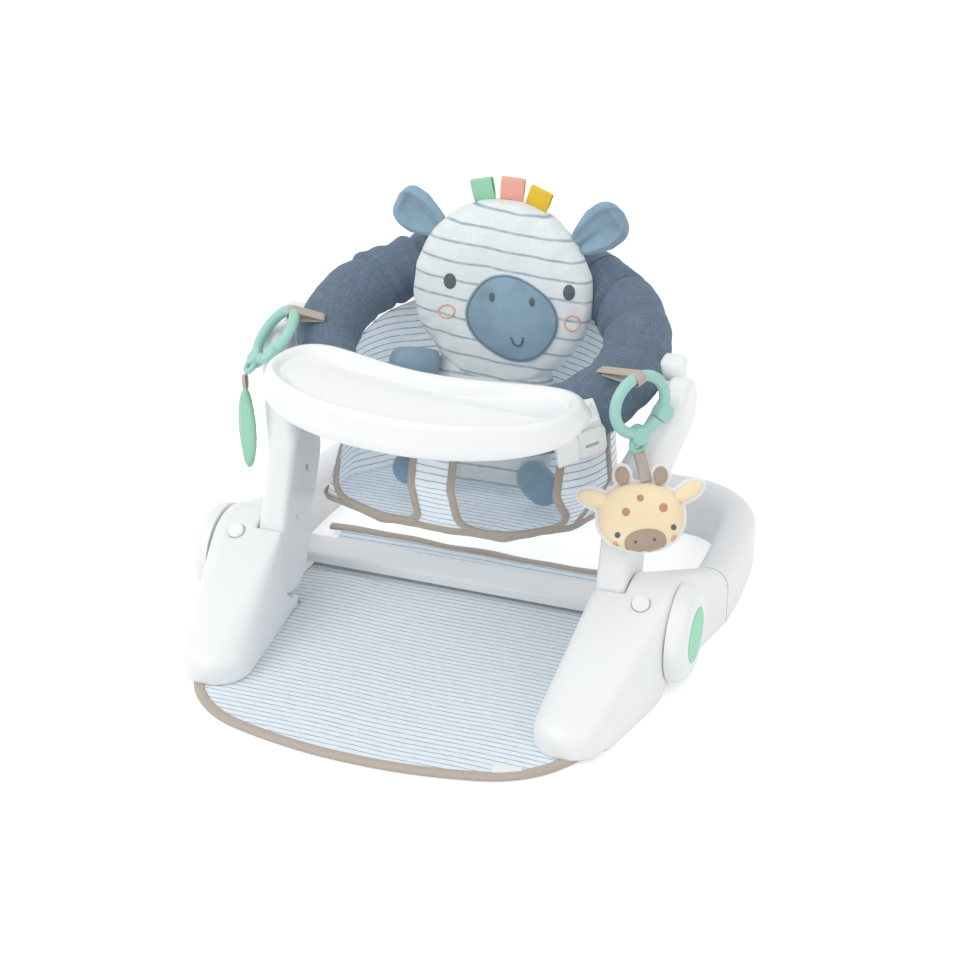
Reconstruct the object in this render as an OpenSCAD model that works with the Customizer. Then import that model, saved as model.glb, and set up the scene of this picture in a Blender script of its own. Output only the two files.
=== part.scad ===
// Baby floor seat: a low base with two front feet and a U-shaped rear tub, a seat
// that hangs from a padded ring on two folding posts, a tray, a floor mat, a plush
// pillow and two hanging toys.
// Millimetres. X to the side, -Y to the front, +Z up. The origin lies on the floor
// under the middle of the object.

/* [Base] */
// Y of the rearmost face of the tub
tub_rear_y = 293.5; // [270:0.5:320]
// Half of the greatest width, at the tub's sides
tub_half_w = 266; // [258:1:274]
// Plan radius of the tub's gently curved sides
tub_side_r = 800; // [600:10:1200]
// Outer plan radius of the tub's rear corners
tub_corner_r = 90; // [70:1:110]
// Width of the tub's hollow wall
tub_wall_w = 40; // [34:1:44]
// Height of the tub's rounded rim
tub_h = 60; // [50:1:66]
// Thickness of the moulded plastic skin
skin_t = 3; // [2:0.5:4]
// Y where the foot mouldings meet the tub
tub_seam_y = 75; // [70:1:90]

/* [Feet and hubs] */
// Y of the fold hinge
hub_y = -56.5; // [-62:0.5:-50]
// Height of the fold hinge
hub_z = 57; // [54:1:62]
// Radius of the hub drum
hub_r = 52; // [48:1:54]
// X of the hub drum's inner face
hub_in_x = 197.5; // [197:0.5:204]
// X of the hub drum's outer face
hub_out_x = 245; // [242:1:248]
// Thickness of the round cover on the hub
hub_cap_t = 19; // [16:1:20]
// Radius of the green disc on the cover
badge_r = 27.5; // [22:0.5:32]
// Y of the toe tips
toe_y = -234; // [-237:0.5:-226]
// Radius of the toes in plan
toe_r = 35; // [31:1:36]
// X of the toes' centres
toe_x = 184; // [182:1:188]
// Height of the toes
toe_h = 36; // [30:1:44]
// Radius of the pivot pin
pin_r = 8; // [6:0.5:10]

/* [Crossbar] */
// Y of the crossbar's middle
bar_y = 48; // [44:1:50]
// Width of the crossbar from front to back
bar_w = 42; // [34:1:46]
// Top of the crossbar
bar_top = 22; // [18:1:26]
// Thickness of the crossbar
bar_t = 12; // [8:1:13]

/* [Floor mat] */
// Y of the mat's front edge
mat_front_y = -293.5; // [-300:0.5:-285]
// Y of the mat's rear edge
mat_rear_y = 120; // [100:1:140]
// Thickness of the mat
mat_t = 4; // [3:0.5:5]
// Width of the sewn edge binding
binding_w = 10; // [6:1:14]
// Half of the mat's width at the front
mat_half_w = 208; // [200:1:214]

/* [Seat ring] */
// Half-width of the ring's centre line
ring_a = 165; // [162:1:167]
// Half-length of the ring's centre line
ring_b = 129; // [120:1:134]
// Radius of the centre line's end arcs
ring_end_r = 105; // [95:1:112]
// Y of the ring's centre
ring_y = 50; // [44:1:54]
// Height of the ring's centre
ring_z = 287; // [280:1:295]
// Rear-up tilt of the ring
ring_tilt = 22; // [18:0.5:25]
// Radius of the padded tube
pad_r = 29; // [27:0.5:30]
// Radius of the hoop inside the padding
hoop_r = 9; // [7:0.5:11]

/* [Posts] */
// Radius of the post's lower end
post_low_r = 36; // [32:1:37]
// Thickness of the post across the seat
post_t = 30; // [24:1:32]
// Height of the post's waist
post_mid_z = 165; // [155:1:175]
// Radius of the post's waist
post_mid_r = 36; // [30:1:38]
// Radius of the post's top
post_top_r = 30; // [26:1:32]
// Thickness of the post's top
post_top_t = 24; // [20:1:26]

/* [Seat pouch] */
// Height of the pouch's floor
pouch_z = 106; // [100:1:115]
// Thickness of the padded fabric
pouch_t = 3; // [2:0.5:4]
// Half-width of the pouch's floor
pouch_low_a = 146; // [130:1:146]
// Half-width of the leg openings' gap, edge to edge
leg_out_x = 108; // [96:1:112]
// Half-width of the crotch panel
crotch_half_w = 23; // [21:1:30]
// Bottom of the leg openings
leg_z = 124; // [118:1:130]

/* [Tray] */
// Half-width of the tray
tray_a = 167; // [162:1:170]
// Half-depth of the tray at its middle
tray_b = 65; // [62:0.5:67]
// Y of the tray's middle
tray_y = -116; // [-118:0.5:-114]
// Turn of the tray about the ring's centre, as it sits on the tube
tray_turn = -5; // [-6:0.5:6]
// Height of the tray's rim
tray_top = 294; // [293:0.5:296]
// Height of the tray's floor at its middle
tray_floor = 277; // [276.5:0.5:279]
// Depth of the front skirt under the rim
tray_skirt = 34; // [28:1:38]
// Thickness of the tray's floor
tray_t = 3; // [2:0.5:4]

/* [Plush pillow] */
// Radius of the pillow's round head
head_r = 99; // [90:1:101]
// Thickness of the head
head_t = 50; // [44:1:52]
// Height of the head's middle
head_z = 324; // [318:1:330]
// Y of the head's middle
head_y = 97; // [92:1:99]

/* [Toys] */
// Radius of the toy rings' centre line
toy_r = 29; // [26:0.5:30]
// Radius of the toy rings' round bar
toy_bar_r = 5.5; // [4.5:0.5:5.5]
// Length of the leaf teether
leaf_l = 88; // [70:1:95]
// Width of the giraffe's face
giraffe_w = 92; // [80:1:100]

/* [Fits] */
// Gap between pieces that sit on each other
gap = 0.3; // [0.2:0.05:0.4]
// Running clearance of the pivot pin
pin_gap = 0.05; // [0.02:0.01:0.1]

/* [Hidden] */
$fn = 64;
soft_fn = 32;
eps = 0.01;
arc_step = 0.15;
arc_lap = 0.5;
white = [0.94, 0.945, 0.945];
denim = [0.37, 0.45, 0.55];
taupe = [0.75, 0.70, 0.65];
stripe = [0.87, 0.91, 0.94];
mint = [0.65, 0.83, 0.79];
green = [0.55, 0.86, 0.69];
plush_blue = [0.51, 0.63, 0.73];
cream = [0.95, 0.87, 0.71];
brown = [0.73, 0.66, 0.60];

// Plan of the tub: side arcs, corner arcs and a straight rear, all tangent.
corner_y = tub_rear_y - tub_corner_r;
side_cx = tub_half_w - tub_side_r;
side_cy = 120;
corner_phi = asin((corner_y - side_cy) / (tub_side_r - tub_corner_r));
corner_x = side_cx + (tub_side_r - tub_corner_r) * cos(corner_phi);
function side_phi(y) = asin((y - side_cy) / tub_side_r);
function side_outer_x(y) = side_cx + tub_side_r * cos(side_phi(y));

// Oval of the ring: end arcs of ring_end_r, front and rear arcs of long_r.
function long_r(a, b, r) = (pow(a - r, 2) + b * b - r * r) / (2 * (b - r));
function end_half_angle(a, b, r) = atan2(long_r(a, b, r) - b, a - r);
end_cx = ring_a - ring_end_r;

// Seat parts that follow the tube.
post_in_x = hub_in_x - gap - post_t;
post_top_x = ring_a + pad_r + 8.2;
post_mid_y = -18;
post_top_y = 30;
post_top_z = 256;
lug_r = 14;
lug_into_post = 10;
channel_r = hoop_r + gap;
pad_band_t = 1.4;
band_r = pad_r + 2 * gap;
pouch_top_in = 18;
pouch_drop = sqrt(pow(band_r + pad_band_t + gap, 2) - pow(pouch_top_in, 2));
pouch_mid_z = 165;
pouch_mid_a = 148;
pouch_mid_b = 98;
pouch_low_b = 65;
pouch_low_y = 39;
binding_t = 7;
tray_bend = 0.0013;
tray_horn = 22;
tray_rise = 0.00045;
tray_n = 2.6;
tray_steps = 72;
tray_over = pad_r + 1;
clip_psi = -50;
clip_w = 26;
clip_in = pad_r + 1.2;
clip_t = 4;
latch_shift = -27;
latch_pivot_r = 2.5;
latch_w = 22;
latch_l = 30;
strap_w = 10;
eye_in = toy_bar_r + 4;
eye_t = 1.4;
knuckle_r = 9.5;
loop_r = 8;
loop_bar_r = 3;
button_r = 8.5;
button_angle = 37;
button_x = 216;
button_proud = 4;
stem_r = 4;
spring_r = 6;
spring_wire = 0.5;
spring_turns = 4;
pocket_gap = 2;
fold_angle = 45;
lean = atan2(post_mid_y - hub_y, post_mid_z - hub_z);

// Right toy: where its ring hangs, and the giraffe leaning on the post.
right_strap_psi = -29;
right_ring_c = [193, -36, 282];
right_ring_top = right_ring_c + [0, 0, toy_r];
right_ring_rot = [0, 90, -37];
right_ring_spin = 0;
giraffe_c = [207, -66, 182];
giraffe_t = 22;
// Left toy: its ring lies along the tube, the leaf hangs below it.
left_strap_psi = -17.5;
left_ring_c = [-198, -13, 290];
left_ring_top = [182.6, -1.4, 311.3];
left_ring_rot = [0, 48.7, 216.9];
left_ring_spin = 0;
leaf_c = [-221, -40, 194];
leaf_t = 9;
leaf_w = 30;

// ---- Shared shapes ----

module mirrored(side) {
    if (side < 0) mirror([1, 0, 0]) children();
    else children();
}

// Closed skin through rings of points with equal counts, bottom ring first.
module skin(rings) {
    n = len(rings[0]);
    m = len(rings);
    points = [for (ring = rings) each ring];
    sides = [for (i = [0:m - 2], j = [0:n - 1])
        each [[i * n + j, (i + 1) * n + j, (i + 1) * n + (j + 1) % n],
              [i * n + j, (i + 1) * n + (j + 1) % n, i * n + (j + 1) % n]]];
    low_cap = [[for (j = [0:n - 1]) j]];
    high_cap = [[for (j = [n - 1:-1:0]) (m - 1) * n + j]];
    polyhedron(points, concat(sides, low_cap, high_cap));
}

// A round block with a rounded upper edge.
module pebble(r, h, e) {
    rotate_extrude($fn = soft_fn) {
        square([r - e, h]);
        square([r, h - e]);
        translate([r - e, h - e]) intersection() {
            circle(e, $fn = soft_fn);
            square(e);
        }
    }
}

// A disc along +Z with both edges rounded.
module rounded_disc(r, t, e) {
    rotate_extrude() {
        translate([0, 0]) square([r - e, t]);
        translate([0, e]) square([r, t - 2 * e]);
        for (z = [e, t - e]) translate([r - e, z]) intersection() {
            circle(e);
            translate([0, z == e ? -e : 0]) square(e);
        }
    }
}

// Sweeps the first 2D child round the ring's end arcs, and the second one round its
// front and rear arcs. Where they meet, the sections step by arc_step and lap a little.
module oval_sweep() {
    half = end_half_angle(ring_a, ring_b, ring_end_r);
    lr = long_r(ring_a, ring_b, ring_end_r);
    for (s = [0, 180]) {
        rotate(s) translate([end_cx, 0]) rotate(-half - arc_lap)
            rotate_extrude(angle = 2 * (half + arc_lap)) translate([ring_end_r, 0])
                children(0);
        rotate(s) translate([0, ring_b - lr]) rotate(half)
            rotate_extrude(angle = 180 - 2 * half) translate([lr, 0]) children(1);
    }
}

// A round bar round the whole oval.
module oval_bar(r) {
    oval_sweep() {
        circle(r);
        circle(r - arc_step);
    }
}

// The filled oval in plan.
module oval_plate(a, b, r, t) {
    half = end_half_angle(a, b, r);
    lr = long_r(a, b, r);
    linear_extrude(t) polygon([
        for (s = [0, 180]) each concat(
            [for (q = [-half:half / 4:half + eps])
                [cos(s) * (a - r + r * cos(q)), cos(s) * (r * sin(q))]],
            [for (q = [half + 10:10:180 - half - 10])
                [cos(s) * (lr * cos(q)), cos(s) * (b - lr + lr * sin(q))]])]);
}

// Puts children into the ring's own frame: origin at its centre, tilted rear up.
module in_ring() {
    translate([0, ring_y, ring_z]) rotate([ring_tilt, 0, 0]) children();
}

// Puts children at the tube's centre line on the end arc at angle psi: X outward
// from the tube, Y along it, Z up from the ring's plane.
module on_tube(psi) {
    in_ring() translate([end_cx, 0, 0]) rotate([0, 0, psi])
        translate([ring_end_r, 0, 0]) children();
}

// ---- Base ----

// Section of the tub's wall, its outer face at x = 0 and the wall towards -x.
module wall_section(w, h) {
    translate([-w, 0]) square([w, h - w / 2]);
    translate([-w / 2, h - w / 2]) circle(w / 2);
}

// Hollow section of the wall, set back all round by a step.
module wall_shell(step = 0) {
    w = tub_wall_w - 2 * step;
    translate([-step, 0]) {
        difference() {
            wall_section(w, tub_h - step);
            translate([-skin_t, -eps]) wall_section(w - 2 * skin_t, tub_h - step - skin_t);
        }
        // Turned-in foot along both lower edges.
        for (x = [-skin_t - 3, -w]) translate([x, 0]) square([skin_t + 3, skin_t - step]);
    }
}

module tub_side() {
    from = side_phi(tub_seam_y + gap);
    translate([side_cx, side_cy, 0]) rotate(from)
        rotate_extrude(angle = corner_phi - from + arc_lap / 8, $fn = 128)
            translate([tub_side_r, 0]) wall_shell();
    translate([corner_x, corner_y, 0]) rotate(corner_phi)
        rotate_extrude(angle = 90 - corner_phi)
            translate([tub_corner_r, 0]) wall_shell(arc_step);
}

module rear_tub() {
    color(white) {
        tub_side();
        mirror([1, 0, 0]) tub_side();
        translate([-corner_x - arc_lap, tub_rear_y, 0]) rotate([90, 0, 90])
            linear_extrude(2 * (corner_x + arc_lap)) wall_shell();
        // Stiffening webs inside the hollow rear wall.
        for (x = [-corner_x + 20:(2 * corner_x - 40) / 4:corner_x])
            translate([x - 1, tub_rear_y, 0]) rotate([90, 0, 90])
                linear_extrude(2) translate([-1, 0]) wall_section(tub_wall_w - 2, tub_h - 1);
    }
}

module drum(x0, x1, r, e) {
    translate([x0, hub_y, hub_z]) rotate([0, 90, 0]) rounded_drum(x1 - x0, r, e);
}

// A drum whose far edge is rounded.
module rounded_drum(l, r, e) {
    rotate_extrude($fn = 48) {
        square([r, l - e]);
        square([r - e, l]);
        translate([r - e, l - e]) circle(e, $fn = 24);
    }
}

// Outline of the post seen from the side, from the hinge up to its waist.
module post_reach(r, reach) {
    circle(r);
    translate([-r, 0]) square([2 * r, reach]);
}

// Space that the post's lower half sweeps while it folds back.
module post_pocket() {
    r = post_low_r + pocket_gap;
    translate([post_in_x - 30, hub_y, hub_z]) rotate([90, 0, 90])
        linear_extrude(hub_in_x - post_in_x + 30) {
            for (turn = [0:15:fold_angle]) rotate(-lean - turn) post_reach(r, 150);
        }
}

module on_button(z = 0) {
    translate([button_x, hub_y, hub_z]) rotate([button_angle, 0, 0])
        translate([0, 0, hub_r + z]) children();
}

module foot() {
    difference() {
        union() {
            // Paw: from the toe to the hub drum.
            hull() {
                translate([toe_x, toe_y + toe_r, 0]) pebble(toe_r, toe_h, 15);
                translate([post_in_x + 34, hub_y - 46, 0]) pebble(40, 66, 20);
                drum(post_in_x, hub_out_x, hub_r, 12);
                translate([post_in_x + 14, hub_y - 30, 0])
                    cube([hub_out_x - post_in_x - 22, 40, 4]);
            }
            // Shoulder: from the hub drum back to the tub's rim.
            hull() {
                drum(hub_in_x + 6, hub_out_x, hub_r, 12);
                translate([side_cx, side_cy, 0]) rotate(side_phi(tub_seam_y))
                    translate([tub_side_r, 0, 0]) rotate([90, 0, 0])
                        linear_extrude(2) wall_section(tub_wall_w, tub_h, $fn = soft_fn);
                translate([hub_in_x + 6, hub_y, 0])
                    cube([hub_out_x - hub_in_x - 12, 30, 4]);
            }
        }
        post_pocket();
        // Everything behind the hinge and inside the drum's face stays free.
        translate([post_in_x - 20, hub_y, -eps])
            cube([hub_in_x - post_in_x + 20, 120, 2 * hub_z + hub_r]);
        // The mat's edge and corners pass under the foot.
        translate([mat_neck_x - 30, toe_y, -eps])
            cube([31.5, hub_y - toe_y + 10, mat_t + 0.6]);
        translate([toe_x - 2 * toe_r, toe_y - 10, -eps])
            cube([4 * toe_r, toe_r + 12, mat_t + 0.6]);
        // Socket of the crossbar's end.
        translate([bar_half_l - 40, bar_y - bar_w / 2 - gap, -eps])
            cube([40 + gap, bar_w + 2 * gap, bar_top + gap]);
        // Recess of the hub cover.
        translate([hub_out_x, hub_y, hub_z]) rotate([0, 90, 0])
            cylinder(r = hub_r - 3 + gap, h = 40);
        // Bore for the pivot pin.
        translate([post_in_x, hub_y, hub_z]) rotate([0, 90, 0])
            cylinder(r = pin_r + pin_gap, h = hub_in_x - post_in_x + 38);
        // Well of the release button, and the narrower guide of its stem.
        on_button(-10) cylinder(r = button_r + gap, h = 30);
        on_button(-24) cylinder(r = stem_r + gap, h = 30);
        // Screw holes for the hub cover.
        for (q = [90, 210, 330]) translate([hub_out_x - 12, hub_y, hub_z])
            rotate([q, 0, 0]) translate([0, 0, hub_r - 12]) rotate([0, 90, 0])
                cylinder(r = 1.6, h = 30);
    }
}

module hub_cap() {
    translate([hub_out_x, hub_y, hub_z]) rotate([0, 90, 0]) difference() {
        pebble(hub_r - 3, hub_cap_t, 14);
        translate([0, 0, hub_cap_t - 1.5]) cylinder(r = badge_r + gap, h = 2);
        for (q = [30, 150, 270]) rotate([0, 0, q]) translate([hub_r - 12, 0, -eps])
            cylinder(r = 1.6, h = 6);
    }
}

module badge() {
    translate([hub_out_x + hub_cap_t - 1.5, hub_y, hub_z]) rotate([0, 90, 0])
        rounded_disc(badge_r, 2.2, 0.6);
}

module pivot_pin() {
    length = hub_in_x - post_in_x + 32;
    translate([post_in_x + 5, hub_y, hub_z]) rotate([0, 90, 0]) {
        cylinder(r = pin_r, h = length - 1);
        cylinder(r1 = pin_r - 1, r2 = pin_r - 1, h = length);
    }
}

module base_screws() {
    color([0.75, 0.76, 0.78]) for (side = [-1, 1]) mirrored(side)
        for (q = [90, 210, 330]) translate([hub_out_x - 11, hub_y, hub_z])
            rotate([q, 0, 0]) translate([0, 0, hub_r - 12]) rotate([0, 90, 0])
                cylinder(r = 1.55, h = 15);
}

bar_half_l = side_outer_x(bar_y - bar_w / 2) - tub_wall_w - 1.2;
module crossbar() {
    inner_x = bar_half_l;
    color(white) difference() {
        union() {
            translate([-inner_x, bar_y - bar_w / 2, bar_top - bar_t]) rounded_bar(2 * inner_x);
            // Blocks that carry the bar's ends on the floor.
            for (s = [-1, 1]) translate([s * (inner_x - 6) - 6, bar_y - bar_w / 2 + 4, 0])
                cube([12, bar_w - 8, bar_top - 4]);
        }
        // Hollow underside, crossed by ribs.
        for (x = [-inner_x + 16:(2 * inner_x - 32) / 6:inner_x - 20])
            translate([x, bar_y - bar_w / 2 + skin_t, bar_top - bar_t - eps])
                cube([(2 * inner_x - 32) / 6 - skin_t, bar_w - 2 * skin_t, bar_t - skin_t]);
    }
}

module rounded_bar(l) {
    e = 4;
    rotate([90, 0, 90]) linear_extrude(l) {
        square([bar_w, bar_t - e]);
        translate([e, 0]) square([bar_w - 2 * e, bar_t]);
        for (x = [e, bar_w - e]) translate([x, bar_t - e]) circle(e);
    }
}

module foot_pads() {
    color([0.35, 0.36, 0.38]) for (side = [-1, 1]) mirrored(side) {
        translate([corner_x, tub_rear_y - tub_wall_w / 2, 0])
            cylinder(r = tub_wall_w / 2 - skin_t - 4, h = 3);
        translate([side_outer_x(side_cy) - tub_wall_w / 2, side_cy, 0])
            cylinder(r = tub_wall_w / 2 - skin_t - 4, h = 3);
    }
}

// ---- Floor mat ----

mat_arc_r = 480;
mat_corner_r = 110;
function mat_corner_x() = mat_half_w - mat_corner_r;
function mat_corner_phi() = asin(mat_corner_x() / (mat_arc_r - mat_corner_r));
function mat_corner_y() = mat_front_y + mat_arc_r
    - (mat_arc_r - mat_corner_r) * cos(mat_corner_phi());
function right_half_front(inset) = concat(
    [for (q = [0:mat_corner_phi() / 4:mat_corner_phi() - eps])
        [(mat_arc_r - inset) * sin(q), mat_front_y + mat_arc_r - (mat_arc_r - inset) * cos(q)]],
    [for (q = [mat_corner_phi():(90 - mat_corner_phi()) / 10:90 + eps])
        [mat_corner_x() + (mat_corner_r - inset) * sin(q),
         mat_corner_y() - (mat_corner_r - inset) * cos(q)]]);
mat_ear_y = toe_y + toe_r - 4;
function under_toe_y(p) = [p.x, min(p.y, mat_ear_y)];
mat_neck_x = post_in_x + 5;
mat_wide_x = side_outer_x(mat_rear_y) - tub_wall_w - 22;

module mat_outline(inset) {
    right = concat([for (p = right_half_front(inset)) if (p.y < mat_ear_y) p],
        [[mat_half_w - inset - 1.5, mat_ear_y],
         [toe_x - toe_r - 3, mat_ear_y],
         [mat_neck_x, mat_ear_y + 30],
         [mat_neck_x, hub_y + 4],
         [hub_in_x - 2, hub_y + 12],
         [hub_in_x - 2, hub_y + hub_r],
         [mat_wide_x, hub_y + hub_r + 30],
         [mat_wide_x, mat_rear_y - inset]]);
    left = [for (i = [len(right) - 1:-1:1]) [-right[i].x, right[i].y]];
    polygon(concat(right, left));
}

module floor_mat() {
    color(stripe) linear_extrude(mat_t) mat_outline(binding_w + gap);
}

module mat_binding() {
    color(taupe) difference() {
        linear_extrude(mat_t) mat_outline(0);
        translate([0, 0, -eps]) linear_extrude(mat_t + 1) intersection() {
            mat_outline(binding_w);
            translate([-300, -400]) square([600, 400 + mat_rear_y - binding_w]);
        }
        translate([-300, mat_ear_y - eps, -eps])
            cube([600, mat_rear_y - binding_w - mat_ear_y, mat_t + 1]);
    }
}

// ---- Release buttons ----

module release_button() {
    on_button() {
        translate([0, 0, button_proud - 8]) rounded_disc(button_r, 8, 1.5);
        translate([0, 0, -20]) cylinder(r = stem_r, h = 20);
    }
}

// Wave spring: rings joined on alternate sides.
module button_spring() {
    pitch = (5.8 - 2 * spring_wire) / (spring_turns - 1);
    on_button() for (i = [0:spring_turns - 1]) {
        z = -9.9 + spring_wire + i * pitch;
        rotate_extrude($fn = 32) translate([spring_r, z]) circle(spring_wire, $fn = 12);
        if (i > 0) rotate(180 * i) translate([spring_r - spring_wire / 2, -0.6, z - pitch])
            cube([spring_wire, 1.2, pitch]);
    }
}

// ---- Posts ----

module post_disc(y, z, x, r, t, e) {
    translate([x, y, z]) rotate([0, 90, 0]) rounded_disc(r, t, e, $fn = soft_fn);
}

module post() {
    difference() {
        union() {
            hull() {
                post_disc(hub_y, hub_z, post_in_x, post_low_r, post_t, 4);
                post_disc(post_mid_y, post_mid_z, post_in_x - 3, post_mid_r, post_t, 8);
            }
            hull() {
                post_disc(post_mid_y, post_mid_z, post_in_x - 3, post_mid_r, post_t, 8);
                post_disc(post_top_y, post_top_z, post_top_x, post_top_r, post_top_t, 8);
            }
        }
        // Blind bore on the pivot pin.
        translate([post_in_x + 5 - gap, hub_y, hub_z]) rotate([0, 90, 0])
            cylinder(r = pin_r + pin_gap, h = post_t);
        // Clears the padded tube and the straps round it.
        in_ring() translate([end_cx, 0]) rotate(-40) rotate_extrude(angle = 80)
            translate([ring_end_r, 0]) circle(band_r + pad_band_t + gap);
        // Socket of the hoop's lug.
        translate([0, ring_y, ring_z]) rotate([0, 90, 0])
            cylinder(r = lug_r + gap, h = post_top_x + lug_into_post + gap);
        // Screw holes in the inner face.
        for (p = screw_points) translate([post_in_x - 10, p.x, p.y])
            rotate([0, 90, 0]) cylinder(r = 3.2, h = 10 + p.z + 3);
    }
}

// Y, Z and depth of the inner face at the post's screws.
screw_points = [[-46, 104, 0], [-22, 150, -2.5], [-6, 196, 8]];

module post_screws() {
    color([0.75, 0.76, 0.78]) for (side = [-1, 1]) mirrored(side)
        for (p = screw_points) translate([post_in_x + p.z - 0.4, p.x, p.y])
            rotate([0, 90, 0]) cylinder(r = 2.9, h = 3);
}

// ---- Ring ----

module seat_hoop() {
    color([0.85, 0.86, 0.87]) {
        in_ring() oval_bar(hoop_r);
        for (side = [-1, 1]) mirrored(side)
            translate([ring_a, ring_y, ring_z]) rotate([0, 90, 0])
                cylinder(r = lug_r, h = post_top_x + lug_into_post - ring_a);
    }
}

module ring_padding() {
    color(denim) difference() {
        in_ring() oval_bar(pad_r);
        in_ring() oval_bar(channel_r + arc_step);
        for (side = [-1, 1]) mirrored(side)
            translate([ring_a - gap, ring_y, ring_z]) rotate([0, 90, 0])
                cylinder(r = lug_r + gap, h = pad_r + 10);
    }
}

module tube_band(psi, w) {
    on_tube(psi) rotate([90, 0, 0]) translate([0, 0, -w / 2]) linear_extrude(w)
        difference() {
            circle(band_r + pad_band_t);
            circle(band_r);
        }
}

module post_straps() {
    color(taupe) for (side = [-1, 1]) mirrored(side) tube_band(22, 12);
}

// ---- Pouch ----

module pouch_body(inset, lift, rise) {
    hull() {
        in_ring() translate([0, 0, -pouch_drop + rise - eps])
            oval_plate(ring_a - pouch_top_in - inset, ring_b - pouch_top_in - inset,
                ring_end_r - pouch_top_in - inset, eps);
        translate([0, ring_y - 5, pouch_mid_z])
            oval_plate(pouch_mid_a - inset, pouch_mid_b - inset, 80 - inset, eps);
        translate([0, pouch_low_y, pouch_z + lift])
            oval_plate(pouch_low_a - inset, pouch_low_b - inset, 60 - inset, eps);
    }
}

module leg_outline(grow) {
    r = 16 + grow;
    x0 = crotch_half_w - grow;
    x1 = leg_out_x + grow;
    translate([x0, leg_z - grow + r]) square([x1 - x0, 150]);
    translate([x0 + r, leg_z - grow]) square([x1 - x0 - 2 * r, 150]);
    for (x = [x0 + r, x1 - r]) translate([x, leg_z - grow + r]) circle(r);
}

module front_prism(reach = 0) {
    translate([0, ring_y - 34 + reach, 0]) rotate([90, 0, 0]) linear_extrude(150) children();
}

module seat_pouch() {
    color(stripe) difference() {
        pouch_body(0, 0, 0);
        pouch_body(pouch_t, pouch_t, 1);
        // Front: leg openings with their binding, and the crotch panel's place.
        front_prism() {
            for (s = [0, 1]) mirror([s, 0]) leg_outline(binding_t + gap);
            translate([-crotch_half_w, leg_z - binding_t - gap])
                square([2 * crotch_half_w, 200]);
        }
    }
}

module leg_binding() {
    color(taupe) difference() {
        intersection() {
            pouch_body(-0.8, -0.8, 0);
            front_prism(-gap) for (s = [0, 1]) mirror([s, 0]) difference() {
                leg_outline(binding_t);
                leg_outline(0);
            }
        }
        pouch_body(pouch_t + 0.8, pouch_t + 0.8, 1);
    }
}

// Piping round the floor seam and up the side seams.
module pouch_piping() {
    color(taupe) difference() {
        intersection() {
            pouch_body(-2.3, -2.3, 0);
            union() {
                translate([-200, -200, pouch_z - 3]) cube([400, 400, 12]);
                for (s = [-1, 1]) translate([s * 160 - 30, pouch_low_y + 6, pouch_z])
                    cube([60, 9, 110]);
            }
        }
        pouch_body(-gap, 0, 0);
        translate([-200, -200, pouch_z - 6]) cube([400, 400, 6 - gap]);
    }
}

module crotch_panel() {
    half = crotch_half_w - binding_t - gap;
    color(stripe) difference() {
        intersection() {
            pouch_body(0, 0, 0);
            front_prism(-gap) translate([-half, leg_z - binding_t]) square([2 * half, 200]);
        }
        pouch_body(pouch_t, pouch_t, 1);
    }
}

// ---- Tray ----

function se(v, n) = sign(v) * pow(abs(v), 2 / n);
// Point of the tray's outline, set in; the ends bend back and the rear corners more.
function tray_point(q, inset) = let (x = (tray_a - inset) * se(cos(q), tray_n))
    [x, tray_y + (tray_b - inset) * se(sin(q), tray_n) + tray_bend * x * x
        + tray_horn * max(0, sin(q)) * pow(x / (tray_a - 45), 2)];
// 0 round the rear, 1 at the middle of the front.
function frontness(q) = pow(max(0, -sin(q)), 0.8);
function tray_ring(inset, z, front_z) = [for (i = [0:tray_steps - 1])
    let (q = 360 * i / tray_steps + 2, p = tray_point(q, inset))
        [p.x, p.y, z + (front_z - z) * frontness(q)]];
// The dish's floor rises towards its ends.
function floor_ring(inset, z) = [for (i = [0:tray_steps - 1])
    let (p = tray_point(360 * i / tray_steps + 2, inset))
        [p.x, p.y, z + tray_rise * p.x * p.x]];

module tray() {
    top = tray_top;
    low = top - tray_skirt;
    rear_low = tray_floor - 6;
    color(white) difference() {
        translate([0, ring_y]) rotate(tray_turn) translate([0, -ring_y]) skin([
            floor_ring(30, tray_floor - tray_t),
            floor_ring(11, tray_floor - tray_t - 1),
            tray_ring(6, rear_low + 2, low + 2),
            tray_ring(3.5, rear_low, low),
            tray_ring(0.5, rear_low + 2, low + 2),
            tray_ring(0, rear_low + 8, low + 9),
            tray_ring(3.5, top - 9, top - 13),
            tray_ring(6, top - 4, top - 5),
            tray_ring(9, top - 1, top - 1.2),
            tray_ring(12, top, top),
            tray_ring(15, top - 1, top - 1),
            tray_ring(17.5, top - 3, top - 3),
            tray_ring(20, top - 6.5, top - 8),
            floor_ring(24.5, tray_floor + 1.4),
            floor_ring(30, tray_floor)]);
        // Saddle over the padded tube.
        in_ring() oval_bar(pad_r + 0.8);
        // Notches for the clips.
        for (side = [-1, 1]) mirrored(side) on_clip()
            translate([3, latch_shift - latch_w / 2 - 5, -25])
                cube([clip_in + clip_t + 12, clip_w / 2 + gap - latch_shift + latch_w / 2 + 5,
                    25 + tray_over]);
    }
}

module on_clip() {
    on_tube(clip_psi) children();
}

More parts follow.
